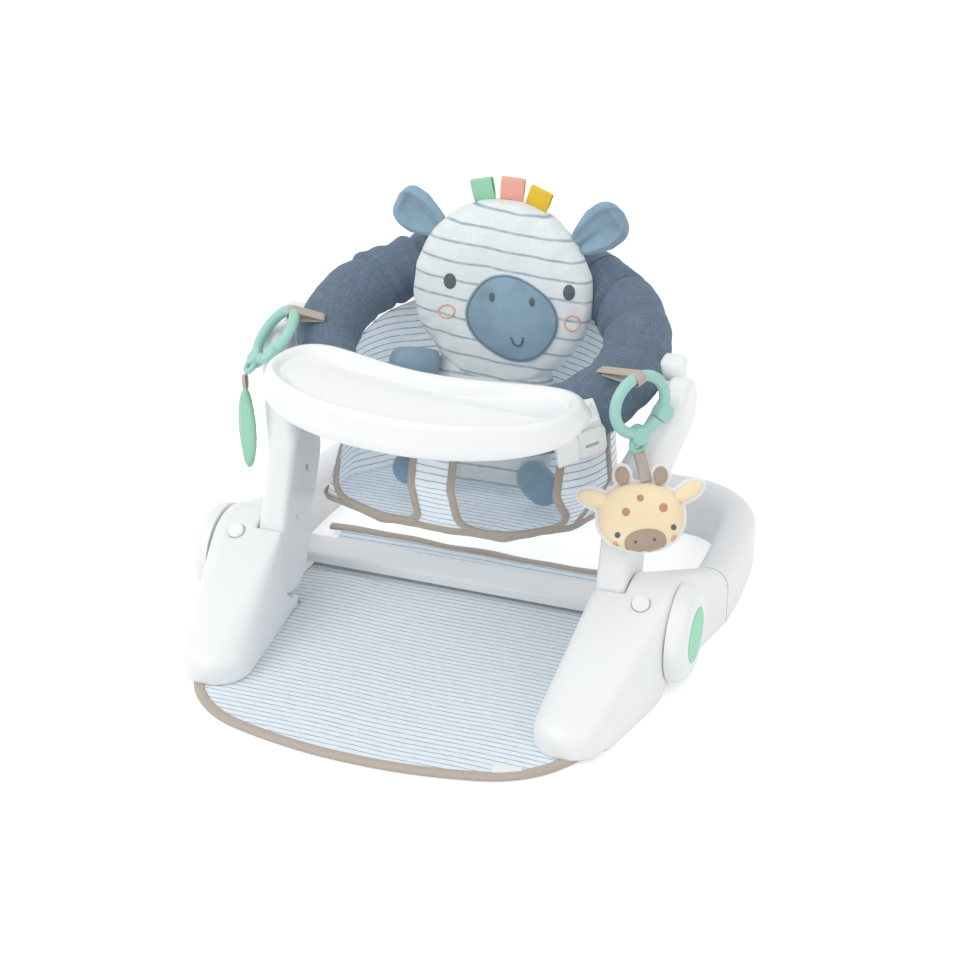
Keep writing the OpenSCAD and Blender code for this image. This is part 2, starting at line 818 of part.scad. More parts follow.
// Plate that hangs from the tray's end down the outside of the tube.
module tray_clip() {
    high = tray_over - gap;
    difference() {
        on_clip() {
            intersection() {
                rotate([90, 0, 0]) translate([0, 0, -clip_w / 2]) linear_extrude(clip_w)
                    difference() {
                        circle(clip_in + clip_t);
                        circle(clip_in);
                    }
                translate([14, -clip_w / 2, 0]) cube([60, clip_w, high]);
            }
            // Outer tab with rounded corners.
            translate([clip_in - 1, 0, -6]) rotate([0, 90, 0]) linear_extrude(clip_t + 3)
                tab_outline(17, 15, 6);
        }
        on_clip() translate([clip_in - 10, -7, -12]) cube([40, 14, 4]);
        on_clip() rotate([90, 0, 0]) cylinder(r = clip_in, h = 200, center = true);
    }
    // Shoulder between the clip and the tray's underside.
    difference() {
        on_clip() translate([4, -clip_w / 2 + 4, 26]) cube([18, clip_w - 8, high - 26]);
        on_clip() rotate([90, 0, 0]) cylinder(r = clip_in, h = 200, center = true);
    }
    // Ears that hold the latch's pin.
    for (s = [-1, 1]) on_clip()
        translate([clip_in + clip_t - 1, latch_shift + s * (latch_w / 2 + gap + 1.5), 14])
            rotate([90, 0, 0]) latch_ear();
    on_clip() translate([18, latch_shift - latch_w / 2 - gap - 3, high - 4])
        cube([clip_in - 6, clip_w / 2 - latch_shift + latch_w / 2 - 2, 4]);
}

module tab_outline(a, b, r) {
    for (x = [-a + r, a - r], y = [-b + r, b - r]) translate([x, y]) circle(r);
    square([2 * a, 2 * (b - r)], center = true);
    square([2 * (a - r), 2 * b], center = true);
}

module latch_ear() {
    translate([0, 0, -1.5]) linear_extrude(3) difference() {
        union() {
            translate([6, 0]) circle(6);
            translate([0, 0]) square([12, tray_over - gap - 14]);
        }
        translate([6, 0]) circle(latch_pivot_r + pin_gap);
    }
}

// Wide release tongue that hangs from the clip's ears.
module tray_latch() {
    on_clip() translate([clip_in + clip_t + 5, latch_shift, 14]) rotate([90, 0, 0])
        difference() {
            hull() {
                cylinder(r = 5.5, h = latch_w, center = true, $fn = soft_fn);
                translate([-0.5, -latch_l, 0])
                    cylinder(r = 3.5, h = latch_w, center = true, $fn = soft_fn);
            }
            cylinder(r = latch_pivot_r + pin_gap, h = latch_w + 2, center = true);
        }
}

module latch_pins() {
    color([0.75, 0.76, 0.78]) for (side = [-1, 1]) mirrored(side) on_clip()
        translate([clip_in + clip_t + 5, latch_shift, 14]) rotate([90, 0, 0])
            cylinder(r = latch_pivot_r, h = latch_w + 2 * gap + 6, center = true);
}

// ---- Toys ----

module place_toy(c, rot, spin) {
    translate(c) rotate(rot) rotate(spin) children();
}

// Ring in its own plane, +X pointing down to the loop.
module toy_ring() {
    difference() {
        union() {
            rotate_extrude() translate([toy_r, 0]) circle(toy_bar_r, $fn = soft_fn);
            for (q = [0, 62]) rotate(q) translate([toy_r + 2, 0, -toy_bar_r - 1])
                rounded_disc(knuckle_r, 2 * toy_bar_r + 2, 2);
            translate([toy_r + knuckle_r + 2, 0, 0]) rotate_extrude()
                translate([loop_r, 0]) circle(loop_bar_r, $fn = soft_fn);
        }
        // Parting slot of the snap opening.
        rotate(48) translate([toy_r - 8, -0.3, -10]) cube([16, 0.6, 20]);
    }
}

// Where the point p lies in the section of the tube at angle psi.
function tube_centre(psi) = [end_cx + ring_end_r * cos(psi),
    ring_y + ring_end_r * sin(psi) * cos(ring_tilt),
    ring_z + ring_end_r * sin(psi) * sin(ring_tilt)];
function in_section(psi, p) = let (v = p - tube_centre(psi))
    [v * [cos(psi), sin(psi) * cos(ring_tilt), sin(psi) * sin(ring_tilt)],
     v * [0, -sin(ring_tilt), cos(ring_tilt)]];

// Strap round the tube whose eye holds the toy ring at the point top.
module toy_strap(psi, top, w = strap_w) {
    eye = in_section(psi, top);
    on_tube(psi) rotate([90, 0, 0]) linear_extrude(w, center = true) {
        difference() {
            circle(band_r + pad_band_t);
            circle(band_r);
        }
        difference() {
            union() {
                translate(eye) circle(eye_in + eye_t);
                rotate(atan2(eye.y, eye.x)) translate([band_r + 0.5, -0.8])
                    square([norm(eye) - band_r - eye_in, 1.6]);
            }
            translate(eye) circle(eye_in);
        }
    }
}

module leaf_outline(l, w) {
    r = (l * l / 4 + w * w / 4) / w;
    intersection() {
        translate([r - w / 2, 0]) circle(r);
        translate([w / 2 - r, 0]) circle(r);
    }
}

module leaf_teether() {
    color(green) translate(leaf_c) rotate([90, 0, -52]) difference() {
        minkowski() {
            linear_extrude(leaf_t - 6, center = true)
                leaf_outline(leaf_l - 6, leaf_w - 6, $fn = soft_fn);
            sphere(3, $fn = 10);
        }
        translate([0, leaf_l / 2 - 13, -leaf_t]) cylinder(r = 2.5, h = 2 * leaf_t);
    }
}

// ---- Plush pillow ----

head_x = 7;
head_lean = 8;

module on_head() {
    translate([head_x, head_y, head_z]) rotate([90 - head_lean, 0, 0])
        rotate([0, 0, -4]) children();
}

// Lens with a blunt edge, its face towards +Z.
module lens(r, t, n) {
    rotate_extrude() polygon(concat([[0, -t / 2]],
        [for (q = [-80:10:80]) [r * pow(cos(q), 2 / n), t / 2 * se(sin(q), n)]],
        [[0, t / 2]]));
}

module pillow_head() {
    color(stripe) on_head() lens(head_r, head_t, 2.4);
}

muzzle_place = [17, -20];
module pillow_muzzle() {
    color(plush_blue) difference() {
        on_head() translate([muzzle_place.x, muzzle_place.y, 0]) rotate([0, 0, -8])
            oval_plate(47, 43, 40, head_t / 2 + 1.5);
        on_head() lens(head_r + gap, head_t + 2 * gap, 2.4);
    }
}

module ear() {
    hull() {
        translate([0, 0, 0]) rotate([90, 0, 0]) cylinder(r = 9, h = 8, center = true, $fn = soft_fn);
        translate([6, 0, 30]) rotate([90, 0, 0])
            cylinder(r = 18, h = 10, center = true, $fn = soft_fn);
    }
}

module pillow_ears() {
    color(plush_blue) difference() {
        for (s = [-1, 1]) on_head() translate([s * 76, s < 0 ? 60 : 66, 0])
            rotate([-90, 0, 0]) rotate([0, s < 0 ? -58 : 46, 0])
                mirror([s < 0 ? 1 : 0, 0, 0]) ear();
        on_head() lens(head_r + gap, head_t + 2 * gap, 2.4);
    }
}

module pillow_ribbons() {
    places = [[-17, [0.6, 0.82, 0.67]], [0, [0.92, 0.67, 0.6]], [17, [0.9, 0.73, 0.15]]];
    for (p = places) color(p[1]) on_head() rotate([0, 0, -p[0]])
        translate([0, head_r + gap, 0]) rotate([0, 90, 0]) linear_extrude(24, center = true)
            difference() {
                translate([-3, 0]) square([6, 20]);
                translate([-1.8, 1.5]) square([3.6, 17]);
            }
}

body_low = pouch_z + pouch_t - 0.5;
body_t = 44;
body_half_w = 66;
body_l = 146;

module on_body() {
    translate([0, head_y - 26, body_low]) rotate([90 - head_lean, 0, 0])
        translate([0, body_t / 2 * sin(head_lean), 0]) children();
}

module body_outline(inset) {
    r = 30 - inset;
    for (x = [-body_half_w + 30, body_half_w - 30], y = [30, body_l - 30])
        translate([x, y]) circle(r);
    translate([-body_half_w + inset, 30]) square([2 * (body_half_w - inset), body_l - 60]);
    translate([-body_half_w + 30, inset]) square([2 * body_half_w - 60, body_l - 2 * inset]);
}

module pillow_body() {
    color(stripe) difference() {
        on_body() {
            linear_extrude(body_t - 12, center = true) body_outline(0);
            linear_extrude(body_t, center = true) body_outline(6);
        }
        on_head() lens(head_r + gap, head_t + 2 * gap, 2.4);
    }
}

// A stubby limb from the body's front, in the body's frame.
module limb(from, aim, r, l) {
    translate([from.x, from.y, body_t / 2 + gap]) rotate(aim) {
        cylinder(r = r, h = l);
        translate([0, 0, l]) sphere(r = r);
    }
}

module pillow_limbs() {
    color(plush_blue) difference() {
        on_body() for (s = [-1, 1]) {
            limb([s * 58, 116], [-8, s * 34, 0], 16, 16);
            limb([s * 44, 28], [6, s * 14, 0], 19, 26);
        }
        on_body() translate([-120, -20, -body_t]) cube([240, 220, 1.5 * body_t + gap]);
        on_head() lens(head_r + gap, head_t + 2 * gap, 2.4);
    }
}

// ---- Giraffe ----

module on_giraffe() {
    translate(giraffe_c) rotate([90, 0, 14]) rotate([-24, 0, 0]) rotate([0, 0, 3]) children();
}

// Flat cushion with an elliptical outline, its face towards +Z.
module oval_cushion(a, b, t) {
    skin([for (q = [-75:25:75]) [for (i = [0:27])
        [a * pow(cos(q), 0.6) * cos(i * 360 / 28), b * pow(cos(q), 0.6) * sin(i * 360 / 28),
         t / 2 * se(sin(q), 2)]]]);
}

module giraffe_face() {
    color(cream) on_giraffe() oval_cushion(giraffe_w / 2, 35, giraffe_t);
}

module giraffe_muzzle() {
    color(brown) on_giraffe() difference() {
        translate([4, -21, 0]) linear_extrude(giraffe_t / 2 + 1.5) scale_oval(22, 13);
        oval_cushion(giraffe_w / 2 + gap, 35 + gap, giraffe_t + 2 * gap);
    }
}

module scale_oval(a, b) {
    polygon([for (i = [0:23]) [a * cos(i * 15), b * sin(i * 15)]]);
}

module giraffe_ears() {
    color(cream) on_giraffe() difference() {
        for (s = [-1, 1]) translate([s * 47, 21, 0]) rotate([0, 0, s * 24])
            oval_cushion(20, 11, 8);
        oval_cushion(giraffe_w / 2 + gap, 35 + gap, giraffe_t + 2 * gap);
    }
}

module giraffe_horns() {
    color(brown) on_giraffe() difference() {
        for (s = [-1, 1]) translate([s * 18, 38, 0]) rotate([0, 0, -s * 6])
            oval_cushion(8.5, 12, 8);
        oval_cushion(giraffe_w / 2 + gap, 35 + gap, giraffe_t + 2 * gap);
    }
}

// ---- Ribbons between a loop and what hangs from it ----

module ribbon(from, to, w, turn) {
    hull() {
        translate(from) rotate(turn) cube([w, 1.6, 1.6], center = true);
        translate(to) rotate(turn) cube([w, 1.6, 1.6], center = true);
    }
}

color(white) mirror([1, 0, 0]) foot();  // left_foot
color(white) foot();  // right_foot
rear_tub();
color(white) mirror([1, 0, 0]) hub_cap();  // left_hub_cap
color(white) hub_cap();  // right_hub_cap
color(green) mirror([1, 0, 0]) badge();  // left_badge
color(green) badge();  // right_badge
crossbar();
floor_mat();
mat_binding();
color("silver") mirror([1, 0, 0]) pivot_pin();  // left_pivot_pin
color("silver") pivot_pin();  // right_pivot_pin
base_screws();
foot_pads();
color(white) mirror([1, 0, 0]) release_button();  // left_release_button
color(white) release_button();  // right_release_button
color("silver") mirror([1, 0, 0]) button_spring();  // left_button_spring
color("silver") button_spring();  // right_button_spring
color(white) mirror([1, 0, 0]) post();  // left_post
color(white) post();  // right_post
post_screws();
seat_hoop();
ring_padding();
post_straps();
seat_pouch();
pouch_piping();
crotch_panel();
leg_binding();
color(taupe)  // left_toy_strap
    mirror([1, 0, 0]) toy_strap(left_strap_psi, left_ring_top, strap_w - 2.5);
color(taupe)  // right_toy_strap
    toy_strap(right_strap_psi, right_ring_top);
pillow_head();
pillow_muzzle();
pillow_ears();
pillow_ribbons();
pillow_body();
pillow_limbs();
tray();
color(white) mirror([1, 0, 0]) tray_clip();  // left_tray_clip
color(white) tray_clip();  // right_tray_clip
color(white) mirror([1, 0, 0]) tray_latch();  // left_tray_latch
color(white) tray_latch();  // right_tray_latch
latch_pins();
color(mint)  // left_toy_ring
    place_toy(left_ring_c, left_ring_rot, left_ring_spin) toy_ring();
color(mint)  // right_toy_ring
    place_toy(right_ring_c, right_ring_rot, right_ring_spin) toy_ring();
leaf_teether();
color(taupe)  // leaf_ribbon
    ribbon([-224.4, -34.4, 249.6], [-221.3, -39.7, 239.2], 6, -40);
giraffe_face();
giraffe_muzzle();
giraffe_ears();
giraffe_horns();
color(taupe)  // giraffe_ribbon
    ribbon([194, -37, 229.5], [206, -52, 215.1], 10.4, 14);
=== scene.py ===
"""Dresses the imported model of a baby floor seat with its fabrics, plush toys and finishes."""

from math import acos, asin, atan2, cos, hypot, pi, radians, sin

import bpy
import bmesh
import numpy as np
from bpy.props import FloatProperty, FloatVectorProperty, PointerProperty
from mathutils import Matrix, Vector, noise
from mathutils.bvhtree import BVHTree


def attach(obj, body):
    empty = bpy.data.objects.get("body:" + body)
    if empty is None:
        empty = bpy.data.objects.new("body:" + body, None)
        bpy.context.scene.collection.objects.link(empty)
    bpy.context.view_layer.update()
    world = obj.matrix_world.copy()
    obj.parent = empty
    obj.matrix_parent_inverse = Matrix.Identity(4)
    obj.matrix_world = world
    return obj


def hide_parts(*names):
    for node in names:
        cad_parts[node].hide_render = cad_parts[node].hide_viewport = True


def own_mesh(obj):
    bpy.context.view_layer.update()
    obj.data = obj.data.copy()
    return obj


bl_info = {
    "name": "Baby floor seat",
    "version": (1, 0, 0),
    "blender": (4, 5, 0),
    "location": "3D View > Sidebar > Floor Seat",
    "description": "Dresses the baby floor seat with fabric, plush toys and finishes",
    "category": "Object",
}

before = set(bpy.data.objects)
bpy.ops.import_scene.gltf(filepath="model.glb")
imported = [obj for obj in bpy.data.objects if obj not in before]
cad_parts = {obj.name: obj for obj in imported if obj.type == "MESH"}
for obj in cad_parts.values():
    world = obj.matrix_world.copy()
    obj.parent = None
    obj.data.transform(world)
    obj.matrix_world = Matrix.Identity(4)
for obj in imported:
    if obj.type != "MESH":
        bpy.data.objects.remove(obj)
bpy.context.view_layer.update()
MM = 0.001
PHOTO = 960  # pixels along each side of the photograph


# ---- Sizes and colours that a user would change ----

def length(name, default, description):
    return FloatProperty(name=name, default=default, description=description,
                         unit="LENGTH", precision=4)


def paint(name, default, description):
    """A colour given in sRGB steps of 255."""
    linear = [((c / 255 + 0.055) / 1.055) ** 2.4 if c > 10 else c / 255 / 12.92 for c in default]
    return FloatVectorProperty(name=name, default=linear, description=description,
                               subtype="COLOR", min=0, max=1)


class SeatSizes(bpy.types.PropertyGroup):
    ring_a: length("Ring half width", 0.1615, "Centre of the tube to the side")
    ring_b: length("Ring half length", 0.129, "Centre of the tube to the front")
    ring_end: length("Ring end radius", 0.105, "Radius of the ring's round ends")
    ring_y: length("Ring centre Y", 0.050, "Where the ring's middle lies")
    ring_z: length("Ring centre Z", 0.287, "Height of the ring's middle")
    pad_r: length("Padding radius", 0.0345, "Radius of the padded tube")
    pouch_in: length("Pouch top inset", 0.021, "How far the pouch hangs inside the tube's centre")
    pouch_z: length("Pouch floor", 0.106, "Height of the pouch's floor")
    fabric_t: length("Fabric thickness", 0.0024, "Thickness of the pouch's cloth")
    stripe_pitch: length("Stripe pitch", 0.0070, "From one woven stripe to the next")
    tape_w: length("Tape width", 0.0085, "Width of the binding tape")


class PillowSizes(bpy.types.PropertyGroup):
    head_r: length("Head radius", 0.099, "Radius of the round head")
    head_t: length("Head thickness", 0.050, "Thickness of the head")
    stripe_pitch: length("Stripe pitch", 0.0192, "From one printed stripe to the next")
    body_w: length("Body width", 0.146, "Width of the body cushion")
    body_l: length("Body length", 0.158, "Length of the body cushion")
    body_t: length("Body thickness", 0.044, "Thickness of the body cushion")


class SeatColours(bpy.types.PropertyGroup):
    white: paint("White plastic", (240, 241, 241), "Base, posts and tray")
    denim: paint("Ring cloth", (98, 115, 133), "Cover of the padded ring")
    ground: paint("Striped cloth", (228, 236, 242), "Ground of the mat and pouch")
    stripe: paint("Stripe", (122, 134, 148), "Stripe of the mat and pouch")
    head: paint("Pillow ground", (222, 228, 228), "Ground of the pillow")
    head_stripe: paint("Pillow stripe", (146, 164, 178), "Stripe of the pillow")
    plush: paint("Plush", (136, 163, 180), "Ears, muzzle and limbs")
    taupe: paint("Tape", (188, 176, 164), "Binding and straps")
    mint: paint("Toy ring", (160, 208, 196), "Hanging rings")
    leaf: paint("Leaf", (150, 205, 180), "Leaf teether")
    cream: paint("Giraffe", (246, 226, 190), "Giraffe's face")
    spot: paint("Giraffe spot", (196, 146, 108), "Giraffe's spots")
    horn: paint("Giraffe muzzle", (176, 156, 138), "Giraffe's muzzle and horns")
    badge: paint("Disc", (140, 217, 175), "Discs on the hubs")
    dark: paint("Dark thread", (92, 99, 108), "Eyes and mouth")
    pink: paint("Pink thread", (240, 178, 160), "Cheeks")


def sizes():
    return bpy.context.scene.seat_sizes


def pillow():
    return bpy.context.scene.pillow_sizes


def colours():
    return bpy.context.scene.seat_colours


# ---- Camera of the photograph ----

CAMERA_AT = Vector((0.6287, -1.6215, 1.0017))
CAMERA_AIM = Vector((-0.0224, 0.1089, 0.100))
FOCAL_PX = 1900.0
CAMERA_TURN = (CAMERA_AIM - CAMERA_AT).to_track_quat("-Z", "Y")


def sight(px, py):
    """Direction of the line of sight through a pixel of the photograph."""
    half = PHOTO / 2
    return CAMERA_TURN @ Vector(((px - half) / FOCAL_PX, (half - py) / FOCAL_PX, -1)).normalized()


def seen_on(tree, px, py):
    """Where the line of sight through a pixel meets a surface, with its normal."""
    hit, normal, _, _ = tree.ray_cast(CAMERA_AT, sight(px, py))
    if hit is None:
        # Just off the edge: the nearest point of the surface instead.
        far = (tree.find_nearest(CAMERA_AT)[0] - CAMERA_AT).length
        for _ in range(4):
            hit, normal, _, _ = tree.find_nearest(CAMERA_AT + sight(px, py) * far)
            far = (hit - CAMERA_AT).dot(sight(px, py))
    if normal.dot(sight(px, py)) > 0:
        normal = -normal
    return hit, normal


# ---- Shader maths ----

class Socket:
    """A value in a material; arithmetic on it adds Math nodes."""

    def __init__(self, made, link):
        self.made, self.link = made, link

    def math(self, operation, *others):
        return self.made.node("ShaderNodeMath", {"operation": operation}, [self, *others])

    def __add__(self, other): return self.math("ADD", other)
    def __mul__(self, other): return self.math("MULTIPLY", other)
    def __sub__(self, other): return self.math("SUBTRACT", other)
    def __truediv__(self, other): return self.math("DIVIDE", other)
    def __rsub__(self, other): return self.made.node(
        "ShaderNodeMath", {"operation": "SUBTRACT"}, [other, self])
    __radd__, __rmul__ = __add__, __mul__


class Graph:
    """The nodes of a material or of the world."""

    def __init__(self, tree):
        self.tree = tree

    def node(self, kind, settings=None, inputs=(), out=0):
        made = self.tree.nodes.new(kind)
        for key, value in (settings or {}).items():
            setattr(made, key, value)
        pairs = inputs.items() if isinstance(inputs, dict) else enumerate(inputs)
        for key, value in pairs:
            self.put(made.inputs[key], value)
        return Socket(self, made.outputs[out])

    def put(self, socket, value):
        if isinstance(value, Socket):
            self.tree.links.new(value.link, socket)
        elif socket.type == "RGBA" and len(value) == 3:
            socket.default_value = (*value, 1)
        else:
            socket.default_value = value

    def rays(self, *kinds):
        """1 for rays of these kinds."""
        share, *others = [self.node("ShaderNodeLightPath", out=f"Is {kind} Ray")
                          for kind in kinds]
        for other in others:
            share = share.math("MAXIMUM", other)
        return share

    def show(self, output, shader):
        self.put(self.tree.nodes[output].inputs["Surface"], shader)


class Finish(Graph):
    """A procedural material built from one Principled shader."""

    def __init__(self, name, **fixed):
        self.material = bpy.data.materials.new(name)
        self.material.use_nodes = True
        super().__init__(self.material.node_tree)
        self.shader = self.tree.nodes["Principled BSDF"]
        for key, value in fixed.items():
            title = key.replace("_", " ").title().replace("Ior", "IOR")
            self.put(self.shader.inputs[title], value)

    def place(self):
        """Position in the seat's own frame, in metres."""
        return self.node("ShaderNodeTexCoord", out="Object")

    def cloth(self):
        """Position on the cloth, in metres along and across it."""
        return self.node("ShaderNodeUVMap", {"uv_map": "cloth"})

    def part(self, vector, axis):
        return self.node("ShaderNodeSeparateXYZ", inputs=[vector], out=axis)

    def stretch(self, vector, factors):
        return self.node("ShaderNodeVectorMath", {"operation": "MULTIPLY"}, [vector, factors])

    def noise(self, vector, scale, detail=2.0, rough=0.5):
        return self.node("ShaderNodeTexNoise", inputs={
            "Vector": vector, "Scale": scale, "Detail": detail, "Roughness": rough})

    def mix(self, share, first, second, how="MIX"):
        return self.node("ShaderNodeMix", {"data_type": "RGBA", "blend_type": how},
                         {"Factor": share, 6: first, 7: second}, out=2)

    def ramp(self, value, low, high):
        """0 below low, 1 above high, smooth between."""
        return self.node("ShaderNodeMapRange", {"interpolation_type": "SMOOTHSTEP"},
                         [value, low, high])

    def lines(self, coordinate, pitch, share, soft=0.06):
        """1 on lines that take this share of each pitch."""
        saw = (coordinate / pitch).math("FRACT")
        off = (saw - 0.5).math("ABSOLUTE")
        return 1 - self.ramp(off, share / 2 - soft / 2, share / 2 + soft / 2)

    def bump(self, height, distance, strength=1.0):
        made = self.node("ShaderNodeBump", inputs={
            "Strength": strength, "Distance": distance, "Height": height})
        self.put(self.shader.inputs["Normal"], made)

    def colour(self, value):
        self.put(self.shader.inputs["Base Color"], value)

    def rough(self, value):
        self.put(self.shader.inputs["Roughness"], value)


def lighter(colour, factor):
    return tuple(min(1, c * factor) for c in colour)


def moulded(name, colour, roughness=0.36, grain=0.00005):
    made = Finish(name, roughness=roughness, coat_weight=0.08, coat_roughness=0.2)
    place = made.place()
    cloud = made.noise(place, 9, 3)
    made.colour(made.mix(cloud, lighter(colour, 0.972), lighter(colour, 1.015)))
    speck = made.noise(place, 1400, 2)
    made.rough(speck * 0.10 + made.noise(place, 30, 2) * 0.08 + (roughness - 0.09))
    made.bump(speck, grain, 0.35)
    return made.material


def thread_noise(made, cloth, along, across):
    """Uneven threads running along the cloth's two directions."""
    warp = made.noise(made.stretch(cloth, (along, across, 1)), 1, 2, 0.6)
    weft = made.noise(made.stretch(cloth, (across, along, 1)), 1, 2, 0.6)
    return warp, weft


def melange(name, colour):
    """Plain weave of mixed blue threads."""
    made = Finish(name, roughness=0.92, sheen_weight=0.12, sheen_roughness=0.5)
    cloth = made.cloth()
    warp, weft = thread_noise(made, cloth, 60, 1100)
    mixed = (warp + weft) * 0.5
    slub = made.ramp(made.noise(made.stretch(cloth, (30, 420, 1)), 1, 1), 0.56, 0.74)
    slub_across = made.ramp(made.noise(made.stretch(cloth, (420, 30, 1)), 1, 1), 0.56, 0.74)
    shade = made.mix(made.ramp(mixed, 0.36, 0.64), lighter(colour, 0.78), lighter(colour, 1.2))
    shade = made.mix((slub + slub_across) * 0.28, shade, lighter(colour, 1.9))
    wash = made.noise(cloth, 14, 3)
    shade = made.mix(wash * 0.25, shade, lighter(colour, 0.82))
    made.colour(shade)
    made.bump(mixed, 0.0005, 0.7)
    return made.material


def striped(name, ground, line, pitch, direction, wander, share, glow=0.0, swell=16):
    """Fine weave with stripes, counted across the cloth ("V") or along an axis of the seat."""
    made = Finish(name, roughness=0.88, sheen_weight=0.08, sheen_roughness=0.5,
                  emission_strength=glow)
    cloth = made.cloth() if direction == "V" else made.place()
    count = made.part(cloth, "Z" if direction == "Z" else "Y")
    wave = made.noise(cloth, swell, 2) - 0.5
    warp, weft = thread_noise(made, cloth, 90, 1100)
    mixed = (warp + weft) * 0.5
    mask = made.lines(count + wave * (2 * wander) + (weft - 0.5) * 0.0006, pitch, share, 0.10)
    uneven = made.ramp(made.noise(made.stretch(cloth, (120, 260, 120)), 1, 2), 0.3, 0.62)
    body = made.mix(made.ramp(mixed, 0.3, 0.7), lighter(ground, 0.93), lighter(ground, 1.05))
    shown = made.mix(mask * (uneven * 0.35 + 0.62), body, line)
    made.colour(shown)
    if glow:
        # Painted light: the cloth glows in its own colour, lightening it in shade as light shining
        # through thin cloth would.
        made.put(made.shader.inputs["Emission Color"], shown)
    made.bump(mixed, 0.0003, 0.55)
    return made.material


def threaded(name, colour, scale, shades, depth, strength, roughness, sheen):
    """Threads or ribs that run one way; sheen is its weight and its roughness."""
    made = Finish(name, roughness=roughness, sheen_weight=sheen[0], sheen_roughness=sheen[1])
    rib = made.noise(made.stretch(made.place(), scale), 1, 2)
    made.colour(made.mix(rib, *(lighter(colour, shade) for shade in shades)))
    made.bump(rib, depth, strength)
    return made.material


def tape(name, colour):
    return threaded(name, colour, (700, 700, 1500), (0.82, 1.12), 0.0003, 0.6, 0.85, (0.1, 0.45))


def satin(name, colour):
    return threaded(name, colour, (300, 300, 2400), (0.86, 1.1), 0.00015, 0.5, 0.42, (0.25, 0.3))


def stitched(name, colour):
    return threaded(name, colour, (2600, 700, 700), (0.8, 1.2), 0.0003, 0.8, 0.7, (0.2, 0.4))


def velour(name, colour, depth=0.16):
    """Short pile that catches the light unevenly."""
    made = Finish(name, roughness=0.95, sheen_weight=0.45, sheen_roughness=0.4)
    place = made.place()
    pile = made.noise(place, 900, 3, 0.7)
    brushed = made.noise(place, 26, 3)
    made.colour(made.mix(made.ramp(pile * 0.4 + brushed * 0.6, 0.32, 0.66),
                         lighter(colour, 1 - depth), lighter(colour, 1 + depth)))
    made.bump(pile, 0.0005, 0.6)
    return made.material


def steel(name):
    made = Finish(name, metallic=1.0, roughness=0.32)
    place = made.place()
    brushed = made.noise(made.stretch(place, (200, 3000, 3000)), 1, 2)
    made.colour(made.mix(brushed, (0.58, 0.59, 0.61), (0.70, 0.71, 0.73)))
    made.rough(brushed * 0.2 + 0.25)
    return made.material


MATERIALS = {}


def make_materials():
    c, s, p = colours(), sizes(), pillow()
    MATERIALS.update(
        white=moulded("white_moulding", c.white),
        tray_white=moulded("tray_moulding", c.white, 0.28),
        denim=melange("ring_cloth", c.denim),
        # Each glow below is painted light: the cloth glows in its own colour to lighten its shade.
        mat=striped("mat_cloth", c.ground, c.stripe, s.stripe_pitch, "Y", 0.0040, 0.14,
                    glow=0.04, swell=7),
        pouch=striped("pouch_cloth", c.ground, c.stripe, s.stripe_pitch, "V", 0.0034, 0.14,
                      glow=0.20),
        head=striped("pillow_cloth", c.head, c.head_stripe, p.stripe_pitch, "V", 0.0036, 0.12,
                     glow=0.06),
        body=striped("body_cloth", c.head, c.head_stripe, p.stripe_pitch, "Z", 0.0030, 0.12),
        plush=velour("blue_plush", c.plush),
        taupe=tape("taupe_tape", c.taupe),
        mint=moulded("mint_moulding", c.mint, 0.42),
        leaf=moulded("leaf_rubber", c.leaf, 0.5),
        cream=velour("cream_plush", c.cream, 0.05),
        spot=stitched("spot_thread", c.spot),
        horn=velour("horn_plush", c.horn, 0.07),
        felt=velour("white_felt", (0.86, 0.87, 0.86), 0.04),
        badge=moulded("green_disc", c.badge, 0.4),
        dark=stitched("dark_thread", c.dark),
        blue_thread=stitched("blue_thread", lighter(c.plush, 0.55)),
        pink=stitched("pink_thread", c.pink),
        steel=steel("bright_steel"),
        rubber=moulded("grey_rubber", (0.10, 0.10, 0.11), 0.75),
        seam=stitched("seam_thread", lighter(c.denim, 0.55)),
        band=tape("band_cloth", lighter(c.denim, 0.92)),
        green_ribbon=satin("green_ribbon", (0.30, 0.63, 0.40)),
        peach_ribbon=satin("peach_ribbon", (0.83, 0.40, 0.30)),
        yellow_ribbon=satin("yellow_ribbon", (0.78, 0.50, 0.02)),
    )


# ---- Meshes ----

UP = Vector((0, 0, 1))


def within(share):
    return min(1.0, max(0.0, share))


def arch(share, power, root=0.5):
    """1 in the middle and 0 at 1, rounded like a superellipse."""
    return max(0.0, 1 - abs(share) ** power) ** root


def signed_power(value, power):
    return np.sign(value) * abs(value) ** power


def around(count):
    """Angles evenly spaced round a circle."""
    return [2 * pi * k / count for k in range(count)]


def spun(degrees, axis):
    return Matrix.Rotation(radians(degrees), 3, axis)


def sided(name, side):
    return f"{name}_{'right' if side > 0 else 'left'}"


def both(*names):
    return [f"{side}_{name}" for name in names for side in ("left", "right")]


def lay_out(mesh, flat):
    """Writes each point's place on the cloth, in metres."""
    layer = mesh.uv_layers.get("cloth") or mesh.uv_layers.new(name="cloth")
    loops = np.array([loop.vertex_index for loop in mesh.loops])
    layer.data.foreach_set("uv", np.asarray(flat, np.float32)[loops].ravel())


def add_piece(name, verts, faces, material, body, uvs=None):
    mesh = bpy.data.meshes.new(name)
    mesh.from_pydata([tuple(v) for v in verts], [], faces)
    mesh.validate()
    if uvs:
        lay_out(mesh, uvs)
    piece = bpy.data.objects.new(name, mesh)
    bpy.context.scene.collection.objects.link(piece)
    piece.data.materials.append(MATERIALS[material])
    mesh.shade_smooth()
    fix_normals(piece)
    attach(piece, body)
    return piece


def fix_normals(piece):
    work = bmesh.new()
    work.from_mesh(piece.data)
    bmesh.ops.recalc_face_normals(work, faces=work.faces)
    work.to_mesh(piece.data)
    work.free()


